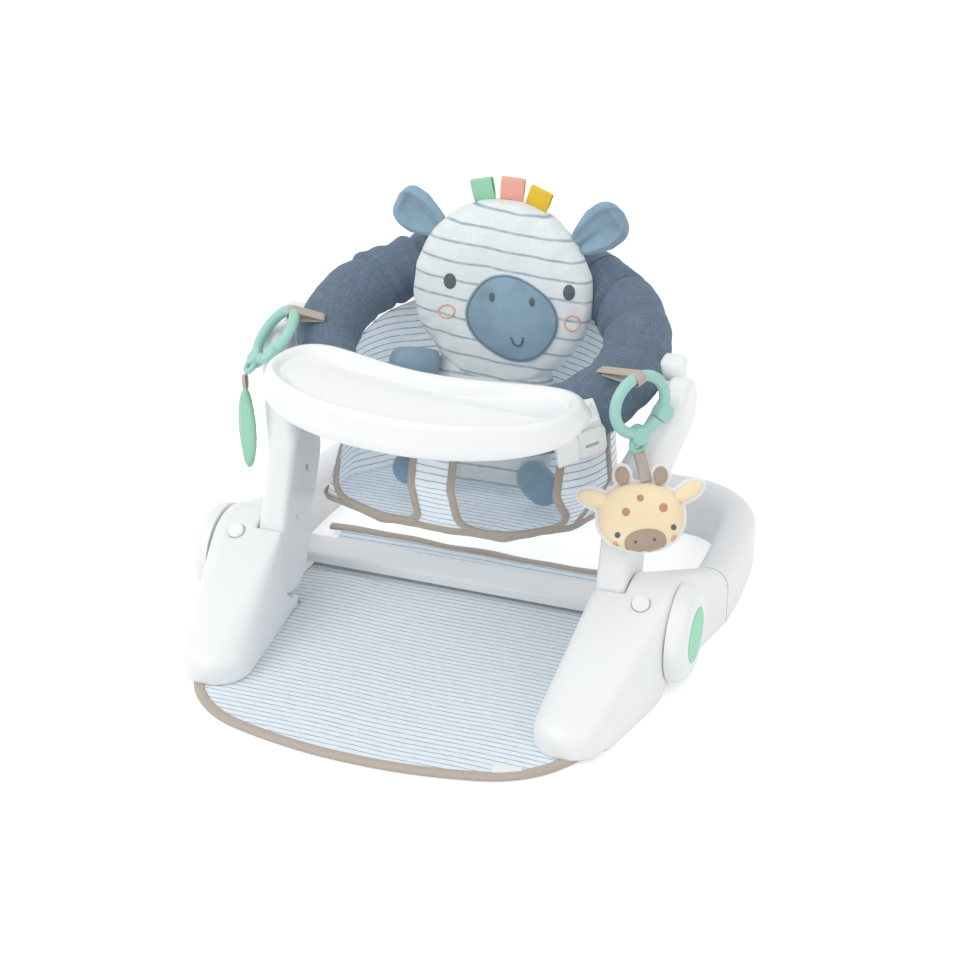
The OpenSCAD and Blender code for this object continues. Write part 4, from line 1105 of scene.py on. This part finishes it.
class SEAT_OT_pillow_body(bpy.types.Operator):
    """Stuffs the pillow's body and limbs"""
    bl_idname = "seat.pillow_body"
    bl_label = "Pillow body"

    # Limbs: root on the body, turns about its X and Y, radius and reach.
    LIMBS = [((-0.058, 0.132), (-8, -52), 0.0165, 0.036), ((0.056, 0.108), (-8, 34), 0.0155, 0.029),
             ((-0.052, 0.028), (6, -36), 0.0185, 0.036), ((0.054, 0.028), (6, 42), 0.0185, 0.036)]
    SLACK = 0.004  # how far the stuffing pushes the cloth out

    def execute(self, context):
        p = pillow()
        verts, rows, count = [], 9, 60
        for i in range(rows):
            z = -1 + 2 * i / (rows - 1)
            inset = 0.012 * abs(z) ** 3
            for q in around(count):
                x = (p.body_w / 2 - self.SLACK - inset) * signed_power(cos(q), 0.5)
                y = (p.body_l / 2 - self.SLACK - inset) * signed_power(sin(q), 0.5)
                verts.append(on_body(x, p.body_l / 2 + y, z * (p.body_t / 2 - self.SLACK)))
        body = add_piece("pillow_body_cushion", verts, tube_faces(rows, count), "body", "seat")
        inflate(body, 0.006, 3.0, 0.005, 14)
        lay_cloth(body, BODY_AT, (1, 0, 0), BODY_TURN @ Vector((0, 1, 0)))
        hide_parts("pillow_body")
        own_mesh(body)
        for k, limb in enumerate(self.LIMBS):
            piece = self.limb(k, *limb)
            if not k:
                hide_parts("pillow_limbs")
        return {"FINISHED"}

    def limb(self, k, root, turns, radius, reach):
        """A stubby limb: a sewn tube with a round, slightly puckered end."""
        turn = spun(turns[1], "Y") @ spun(turns[0], "X")
        seat = Vector((*root, pillow().body_t / 2 - 0.003))
        verts, count = [], 28
        profile = [(radius * (0.90 + 0.10 * sin(pi * t)), reach * t) for t in
                   [i / 7 for i in range(8)]]
        profile += [(radius * 0.92 * cos(q), reach + radius * 0.8 * sin(q))
                    for q in [pi / 2 * i / 7 for i in range(1, 7)]]
        for r, z in profile:
            for q in around(count):
                bulge = 1 + 0.035 * noise.noise(Vector((cos(q) * 2, sin(q) * 2, z * 50 + k)))
                local = turn @ Vector((r * bulge * cos(q), r * bulge * sin(q), z))
                verts.append(on_body(*(seat + local)))
        faces = grid_faces(len(profile), count) + fan(len(verts) - count, count, len(verts))
        faces.append(tuple(range(count))[::-1])
        verts.append(on_body(*(seat + turn @ Vector((0, 0, reach + radius * 0.8)))))
        piece = add_piece(f"pillow_limb_{k}", verts, faces, "plush", "seat")
        return piece


# ---- Floor mat ----

def mat_half(y):
    """Half-width of the mat's front part at a given Y."""
    arc_r, corner_r, half_w, front = 0.480, 0.110, 0.209, -0.300
    corner_x = half_w - corner_r
    phi = asin(corner_x / (arc_r - corner_r))
    corner_y = front + arc_r - (arc_r - corner_r) * cos(phi)
    turn_y = corner_y - corner_r * cos(phi)
    if y <= turn_y:
        return max(0.0, arc_r ** 2 - (front + arc_r - y) ** 2) ** 0.5
    if y <= corner_y:
        return corner_x + max(0.0, corner_r ** 2 - (corner_y - y) ** 2) ** 0.5
    return half_w


class SEAT_OT_floor_mat(bpy.types.Operator):
    """Lays the striped floor mat and binds its edge"""
    bl_idname = "seat.floor_mat"
    bl_label = "Floor mat"

    FRONT, REAR = -0.300, 0.120
    TOE_EDGE = -0.204  # where the front tape ends, under the toes
    THICK = 0.0045
    TAPE_IN, TAPE_Z, TAPE_T = 0.005, 0.003, 0.0056  # from the edge, height and thickness
    TAG = [(491.5, 764.5), (502, 765.6), (512.5, 766.7), (523, 767.8), (522.6, 772), (522.2, 776.2),
           (512, 775.1), (501.6, 774), (491.1, 772.9), (491.3, 768.7)]

    def half_width(self, y):
        """Half-width of the whole mat: full in front, narrow between the feet, wider behind."""
        inner, behind = 0.1700, 0.1945
        front = mat_half(y)
        neck = within((y - self.TOE_EDGE) / 0.03)
        wide = within((y + 0.050) / 0.014)
        low = front + (inner - front) * neck
        return low + (behind - low) * wide

    def top(self, x, y):
        """The mat's quilted surface, in metres above the floor."""
        wave = noise.noise(Vector((x * 9, y * 9, 0.5))) * 0.0014
        ripple = noise.noise(Vector((x * 5, y * 38, 2.5))) * 0.0006
        bunch = 0.003 * np.exp(-((x + 0.14) / 0.035) ** 2 - ((y - 0.01) / 0.05) ** 2)
        under_crossbar = 0.02 <= y <= 0.076
        loose = 0 if under_crossbar else wave + ripple + bunch
        return self.THICK + loose + self.rear_lift(x, y)

    def rear_lift(self, x, y):
        """The loose rear edge curls up a little."""
        share = within((y - self.REAR + 0.034) / 0.030)
        return share * share * (0.0045 + 0.0040 * noise.noise(Vector((x * 16, 0.2, 0.9))))

    def execute(self, context):
        rows, cols = 110, 81
        verts = []
        for i in range(rows):
            t = i / (rows - 1)
            y = self.FRONT + 0.006 + (self.REAR - 0.006 - self.FRONT - 0.006) * t ** 1.25
            half = max(0.004, self.half_width(y) - 0.005)
            for j in range(cols):
                x = half * (2 * j / (cols - 1) - 1)
                verts.append((x, y, self.top(x, y)))
        verts += [(x, y, 0.8 * self.rear_lift(x, y)) for x, y, _ in verts]
        piece = add_piece("mat_panel", verts, slab_faces(rows, cols), "mat", "base")
        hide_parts("floor_mat")
        appliqued("mat_tag", tree_of(piece), self.TAG, (507, 770), "felt", "base",
                  0.0009, 0.0, 2)
        self.bind()
        return {"FINISHED"}

    def bind(self):
        """Tape over the front edge, ending under the toes, and over the rear edge."""
        edge = [Vector((0, self.FRONT + self.TAPE_IN, self.TAPE_Z))]
        for i in range(1, 60):
            y = self.FRONT + (self.TOE_EDGE - self.FRONT) * (i / 59) ** 2
            edge.append(Vector((max(0.0, mat_half(y) - self.TAPE_IN),
                                y + self.TAPE_IN * (1 - i / 59), self.TAPE_Z)))
        front = [Vector((-p.x, p.y, p.z)) for p in reversed(edge[1:])] + edge
        tape_front = sweep("mat_tape_front", [(p, UP) for p in front],
                           flat_section(0.011, self.TAPE_T), "taupe", "base")
        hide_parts("mat_binding")
        rear = []
        for i in range(61):
            x = -0.205 + 0.41 * i / 60
            lift = self.rear_lift(x, self.REAR)
            rear.append((Vector((x, self.REAR - self.TAPE_IN, self.TAPE_Z + lift)), UP))
        sweep("mat_tape_rear", rear, flat_section(0.0105, self.TAPE_T), "taupe", "base")


# ---- Hanging toys ----

def tube_frame(psi, side):
    """Centre, outward and upward directions of the ring's tube at an end angle."""
    s = sizes()
    q = radians(psi)
    centre = ring_point(s.ring_a - s.ring_end + s.ring_end * cos(q), s.ring_end * sin(q))
    out = Vector((cos(q), sin(q) * cos(TILT), sin(q) * sin(TILT)))
    mirror = Vector((side, 1, 1))
    return centre * mirror, out * mirror, RING_UP * mirror


class SEAT_OT_straps(bpy.types.Operator):
    """Loops the tape straps round the ring and through the hanging toys"""
    bl_idname = "seat.straps"
    bl_label = "Toy straps"

    # Straps: node, side, degrees round the ring's end, and the eye's middle.
    STRAPS = [("right_toy_strap", 1, -29.0, (0.193, -0.036, 0.311)),
              ("left_toy_strap", -1, -17.5, (-0.1826, -0.0014, 0.3113))]
    EYE_R = 0.0062
    STRAP, BAND = (0.0105, 0.0013), (0.012, 0.0012)  # width and thickness
    BAND_AT = 22  # degrees round the ring's end, over the posts' lugs

    def execute(self, context):
        for strap in self.STRAPS:
            self.toy_strap(*strap)
        for side in (-1, 1):
            self.post_band(side)
        return {"FINISHED"}

    def toy_strap(self, node, side, psi, eye):
        """Tape from its seam on the ring, round the toy's eye and back."""
        pad_r = sizes().pad_r
        centre, out, up = tube_frame(psi, side)
        away = Vector(eye) - centre
        eye_q = atan2(away.dot(up), away.dot(out))
        reach = hypot(away.dot(up), away.dot(out))
        sewn_q = eye_q + 0.85 * acos(pad_r / reach)
        middle = centre + (out * cos(eye_q) + up * sin(eye_q)) * reach
        spoke = out * cos(sewn_q) + up * sin(sewn_q)
        sewn = centre + spoke * (pad_r - 0.002)
        run = (middle - sewn).normalized()
        off = (spoke - run * spoke.dot(run)).normalized()
        arc = [run * cos(q) + off * sin(q) for q in
               (radians(-108 + 216 * i / 24) for i in range(25))]
        spots = [(middle + spoke * self.EYE_R, spoke) for spoke in arc]
        for turn in (-1, 1):
            start = sewn + off * (0.0008 * turn)
            end = middle - run * (0.3 * self.EYE_R) + off * (0.95 * turn * self.EYE_R)
            ply = [(start.lerp(end, i / 9), off * turn) for i in range(9)]
            spots = ply + spots if turn < 0 else spots + ply[::-1]
        piece = sweep(f"{node}_tape", spots, flat_section(*self.STRAP), "taupe", "seat")
        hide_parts(node)

    def post_band(self, side):
        """Band of cloth round the ring, over a post's lug."""
        centre, out, up = tube_frame(self.BAND_AT, side)
        spots = []
        for q in around(64):
            spoke = out * cos(q) + up * sin(q)
            flat = SEAT_OT_ring_cover.FLAT_BELOW * max(0.0, -sin(q)) ** 1.5
            spots.append((centre + spoke * (sizes().pad_r - 0.0022 - flat), spoke))
        piece = sweep(sided("post_strap", side), spots, flat_section(*self.BAND), "band",
                      "seat", closed=True)
        if side < 0:
            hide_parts("post_straps")


class SEAT_OT_leaf(bpy.types.Operator):
    """Hangs the soft leaf with its vein from the left ring"""
    bl_idname = "seat.leaf"
    bl_label = "Leaf teether"

    AT = Vector((-0.2215, -0.0405, 0.1935))
    LONG, WIDE, THICK = 0.091, 0.032, 0.009

    def execute(self, context):
        turn = spun(-32, "Z") @ spun(90, "X")
        rows, cols = 44, 21
        verts = []
        for face in (1, -1):
            for i in range(rows):
                t = -1 + 2 * i / (rows - 1)
                half = self.WIDE / 2 * arch(t, 2.1, 0.85)
                for j in range(cols):
                    u = -1 + 2 * j / (cols - 1)
                    x, y = u * half, t * self.LONG / 2
                    body = arch(u, 2.4) * min(1, (1 - abs(t)) * 6) ** 0.5
                    vein = 0.0010 * np.exp(-(x / 0.0012) ** 2) * (abs(t) < 0.86)
                    rib = 0.0005 * max(0, cos((y + abs(x) * -0.8) * 2 * pi / 0.011)) ** 6
                    verts.append(self.AT + turn @ Vector(
                        (x, y, face * (self.THICK / 2 * body - vein - rib * body))))
        piece = add_piece("leaf_soft", verts, slab_faces(rows, cols), "leaf", "leaf")
        weld_and_refine(piece)
        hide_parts("leaf_teether")
        return {"FINISHED"}


GIRAFFE_AT = Vector((0.207, -0.066, 0.182))
GIRAFFE_TURN = spun(14, "Z") @ spun(90, "X") @ spun(-24, "X") @ spun(3, "Z")


class SEAT_OT_giraffe(bpy.types.Operator):
    """Sews the small giraffe face on its white backing"""
    bl_idname = "seat.giraffe"
    bl_label = "Giraffe"

    # Stitched shapes: centre and radius in the photograph's pixels.
    SPOTS = [((625.9, 511.9), 4.0), ((640.3, 498.0), 3.4), ((663.4, 507.6), 4.2)]
    EYES = [((617.6, 535.0), 2.8), ((673.6, 527.2), 2.8)]
    CHEEKS = [((615.0, 545.5), 4.0), ((674.5, 538.8), 3.8)]
    MUZZLE, MUZZLE_R, MUZZLE_TURN = (645.5, 542.0), (21.0, 13.0), radians(-7)
    NOSTRILS = [((635.6, 541.9), 1.5), ((654.5, 539.5), 1.5)]
    # Ears and horns in millimetres and degrees: x, y, turn and half axes.
    EARS = [(44, 23, 30, 18, 10), (-45, 16, -16, 18, 10.5)]
    HORNS = [(18, 37.5, -6, 9.4, 11.5), (-18, 37.5, 6, 9.4, 11.5)]

    def pad(self, name, x, y, turn, a, b, thick, centre_z, material, slot, power=2.0):
        """An oval cushion in the giraffe's plane; sizes in millimetres."""
        spin = spun(turn, "Z")
        verts, rows, count = [], 11, 40
        for i in range(rows):
            q = -pi / 2 * 0.97 + pi * 0.97 * i / (rows - 1)
            scale, z = cos(q) ** 0.6, thick / 2 * sin(q)
            for w in around(count):
                local = spin @ Vector((a * scale * signed_power(cos(w), 2 / power),
                                       b * scale * signed_power(sin(w), 2 / power), 0))
                local += Vector((x, y, centre_z + z))
                verts.append(GIRAFFE_AT + GIRAFFE_TURN @ (local * MM))
        return add_piece(name, verts, tube_faces(rows, count), material, "giraffe")

    def execute(self, context):
        face = self.pad("giraffe_face_pad", -1, -1, 0, 40.5, 32, 22, 0, "cream",
                        "cream_plush", 2.25)
        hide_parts("giraffe_face")
        for group, node, look, slot in ((self.EARS, "giraffe_ears", "cream", "cream_plush"),
                                        (self.HORNS, "giraffe_horns", "horn", "brown_plush")):
            for k, (x, y, turn, a, b) in enumerate(group):
                piece = self.pad(f"{node}_{k}", x, y, turn, a - 2.5, b - 2.5, 7, 1.5, look, slot)
                if not k:
                    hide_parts(node)
        self.backing()
        tree = tree_of(face)
        muzzle = appliqued("giraffe_muzzle_pad", tree,
                           seen_ellipse(self.MUZZLE, self.MUZZLE_R, self.MUZZLE_TURN, 40, 2.2),
                           self.MUZZLE, "horn", "giraffe", 0.0012, 0.0016, 6)
        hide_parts("giraffe_muzzle")
        on_muzzle = tree_of(muzzle)
        for group, look, name, on in ((self.SPOTS, "spot", "spot", tree),
                                      (self.EYES, "dark", "eye", tree),
                                      (self.CHEEKS, "pink", "cheek", tree),
                                      (self.NOSTRILS, "dark", "nostril", on_muzzle)):
            for k, (centre, r) in enumerate(group):
                appliqued(f"giraffe_{name}_{k}", on, seen_ellipse(centre, (r, r * 1.05), 0, 20),
                          centre, look, "giraffe", 0.0005, 0.0003, 2)
        return {"FINISHED"}

    def backing(self):
        """White felt cut a little larger than the face, ears and horns together."""
        parts = [self.pad("giraffe_felt", -1, -1, 0, 44.5, 36, 5, -3, "felt", "cream_plush", 2.25)]
        for x, y, turn, a, b in self.EARS + self.HORNS:
            parts.append(self.pad("giraffe_felt_part", x, y, turn, a + 1.2, b + 1.2, 5, -3,
                                  "felt", "cream_plush"))
        work = bmesh.new()
        for part in parts:
            work.from_mesh(part.data)
        work.to_mesh(parts[0].data)
        work.free()
        for part in parts[1:]:
            bpy.data.objects.remove(part)
        even_out(parts[0], 0.0011)
        soften(parts[0], 4)
        apply_modifiers(parts[0])
        parts[0].data.shade_smooth()


class SEAT_OT_ribbons(bpy.types.Operator):
    """Folds the tapes between the rings' lower loops and what hangs from them"""
    bl_idname = "seat.ribbons"
    bl_label = "Hanging tapes"

    # Tapes: name, node, body, lower and upper end, facing and width.
    TAPES = [("giraffe_tape", "giraffe_ribbon", "giraffe", (0.2070, -0.0540, 0.2120),
              (0.1945, -0.0372, 0.2330), (0.6, -0.8, 0.3), 0.011),
             ("leaf_tape", "leaf_ribbon", "left_toy", (-0.2213, -0.0400, 0.2330),
              (-0.2243, -0.0344, 0.2500), (-0.5, -0.85, 0), 0.0065)]

    def execute(self, context):
        for name, node, body, low, high, face, width in self.TAPES:
            piece = tape_loop(name, Vector(low), Vector(high), Vector(face), width, "taupe",
                              body, 0.0018)
            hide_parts(node)
        return {"FINISHED"}


# ---- Rigid parts ----

class SEAT_OT_mouldings(bpy.types.Operator):
    """Gives the moulded and metal parts their finishes, and softens the large mouldings"""
    bl_idname = "seat.mouldings"
    bl_label = "Mouldings"

    FINISHES = {
        "white": ["rear_tub", "crossbar", "seat_hoop",
                  *both("foot", "hub_cap", "release_button", "post")],
        "tray_white": ["tray", *both("tray_clip", "tray_latch")],
        "badge": both("badge"),
        "mint": both("toy_ring"),
        "steel": ["base_screws", "post_screws", "latch_pins", *both("pivot_pin", "button_spring")],
        "rubber": ["foot_pads"],
    }
    # Large mouldings: voxel in metres and smoothing passes.
    SOFTENED = [(both("foot"), 0.0018, 14), (both("post"), 0.0015, 8), (["tray"], 0.0011, 3),
                (both("tray_clip"), 0.0009, 5), (both("tray_latch"), 0.0008, 4)]

    def execute(self, context):
        for look, nodes in self.FINISHES.items():
            for name in nodes:
                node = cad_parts[name]
                node.data.materials.clear()
                node.data.materials.append(MATERIALS[look])
        for nodes, voxel, passes in self.SOFTENED:
            for name in nodes:
                even_out(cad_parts[name], voxel)
                soften(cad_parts[name], passes)
        return {"FINISHED"}


class SEAT_OT_stage(bpy.types.Operator):
    """Sets the pale floor, the soft light and the camera"""
    bl_idname = "seat.stage"
    bl_label = "Stage"

    def execute(self, context):
        scene = bpy.context.scene
        scene.view_settings.view_transform = "Standard"
        self.camera(scene)
        self.floor(scene)
        self.light(scene)
        return {"FINISHED"}

    def camera(self, scene):
        lens = bpy.data.cameras.new("photo_camera")
        lens.sensor_fit = "HORIZONTAL"
        lens.lens = FOCAL_PX / PHOTO * lens.sensor_width
        lens.clip_end = 50
        camera = bpy.data.objects.new("photo_camera", lens)
        camera.location = CAMERA_AT
        camera.rotation_mode = "QUATERNION"
        camera.rotation_quaternion = CAMERA_TURN
        scene.collection.objects.link(camera)
        scene.camera = camera

    def floor(self, scene):
        half = 9.0
        mesh = bpy.data.meshes.new("pale_floor")
        mesh.from_pydata([(-half, -half, 0), (half, -half, 0), (half, half, 0), (-half, half, 0)],
                         [], [(0, 1, 2, 3)])
        floor = bpy.data.objects.new("pale_floor", mesh)
        floor.location.z = -0.0004
        scene.collection.objects.link(floor)
        made = Finish("pale_floor", roughness=0.9, specular_ior_level=0.0)
        cloud = made.noise(made.place(), 3, 2)
        made.colour(made.mix(cloud, (0.93, 0.93, 0.93), (0.94, 0.94, 0.94)))
        lit = Socket(made, made.shader.outputs[0])
        glow = made.node("ShaderNodeEmission", inputs={"Color": (1, 1, 1), "Strength": 0.34})
        both = made.node("ShaderNodeAddShader", inputs=[lit, glow])
        made.show("Material Output", made.node("ShaderNodeMixShader", inputs=[
            made.rays("Camera", "Glossy"), lit, both]))
        floor.data.materials.append(made.material)

    def light(self, scene):
        world = bpy.data.worlds.new("studio")
        scene.world = world
        world.use_nodes = True
        graph = Graph(world.node_tree)
        graph.tree.nodes.remove(graph.tree.nodes["Background"])
        soft, white = [graph.node("ShaderNodeBackground", inputs={
            "Color": colour, "Strength": strength}) for colour, strength in
            (((0.97, 0.985, 1.0), 0.80), ((1, 1, 1), 1.0))]
        graph.show("World Output", graph.node("ShaderNodeMixShader", inputs=[
            graph.rays("Camera", "Glossy", "Transmission"), soft, white]))
        aim = Vector((0, 0, 0.15))
        for name, at, energy, size in (("key", (-1.5, -1.7, 2.6), 34, 2.2),
                                       ("fill", (2.2, -1.2, 1.9), 10, 2.0)):
            lamp = bpy.data.lights.new(name, "AREA")
            lamp.energy, lamp.size = energy, size
            holder = bpy.data.objects.new(name, lamp)
            holder.location = at
            holder.rotation_mode = "QUATERNION"
            holder.rotation_quaternion = (aim - Vector(at)).to_track_quat("-Z", "Y")
            scene.collection.objects.link(holder)


class SEAT_PT_panel(bpy.types.Panel):
    """Lists the pieces of the seat"""
    bl_idname = "SEAT_PT_panel"
    bl_label = "Baby floor seat"
    bl_space_type = "VIEW_3D"
    bl_region_type = "UI"
    bl_category = "Floor Seat"

    def draw(self, context):
        for name in GROUPS:
            box = self.layout.box()
            for key in GROUPS[name].__annotations__:
                box.prop(getattr(context.scene, name), key)
        for operator in OPERATORS:
            self.layout.operator(operator.bl_idname)


OPERATORS = (SEAT_OT_mouldings, SEAT_OT_ring_cover, SEAT_OT_pouch, SEAT_OT_pillow_head,
             SEAT_OT_pillow_body, SEAT_OT_floor_mat, SEAT_OT_straps, SEAT_OT_leaf,
             SEAT_OT_giraffe, SEAT_OT_ribbons, SEAT_OT_stage)
GROUPS = {"seat_sizes": SeatSizes, "pillow_sizes": PillowSizes, "seat_colours": SeatColours}


def register():
    for cls in (*GROUPS.values(), *OPERATORS, SEAT_PT_panel):
        bpy.utils.register_class(cls)
    for name, group in GROUPS.items():
        setattr(bpy.types.Scene, name, PointerProperty(type=group))


def unregister():
    for name in GROUPS:
        delattr(bpy.types.Scene, name)
    for cls in reversed((*GROUPS.values(), *OPERATORS, SEAT_PT_panel)):
        bpy.utils.unregister_class(cls)


def main():
    register()
    make_materials()
    for operator in OPERATORS:
        area, name = operator.bl_idname.split(".")
        getattr(getattr(bpy.ops, area), name)()


if __name__ == "__main__":
    main()
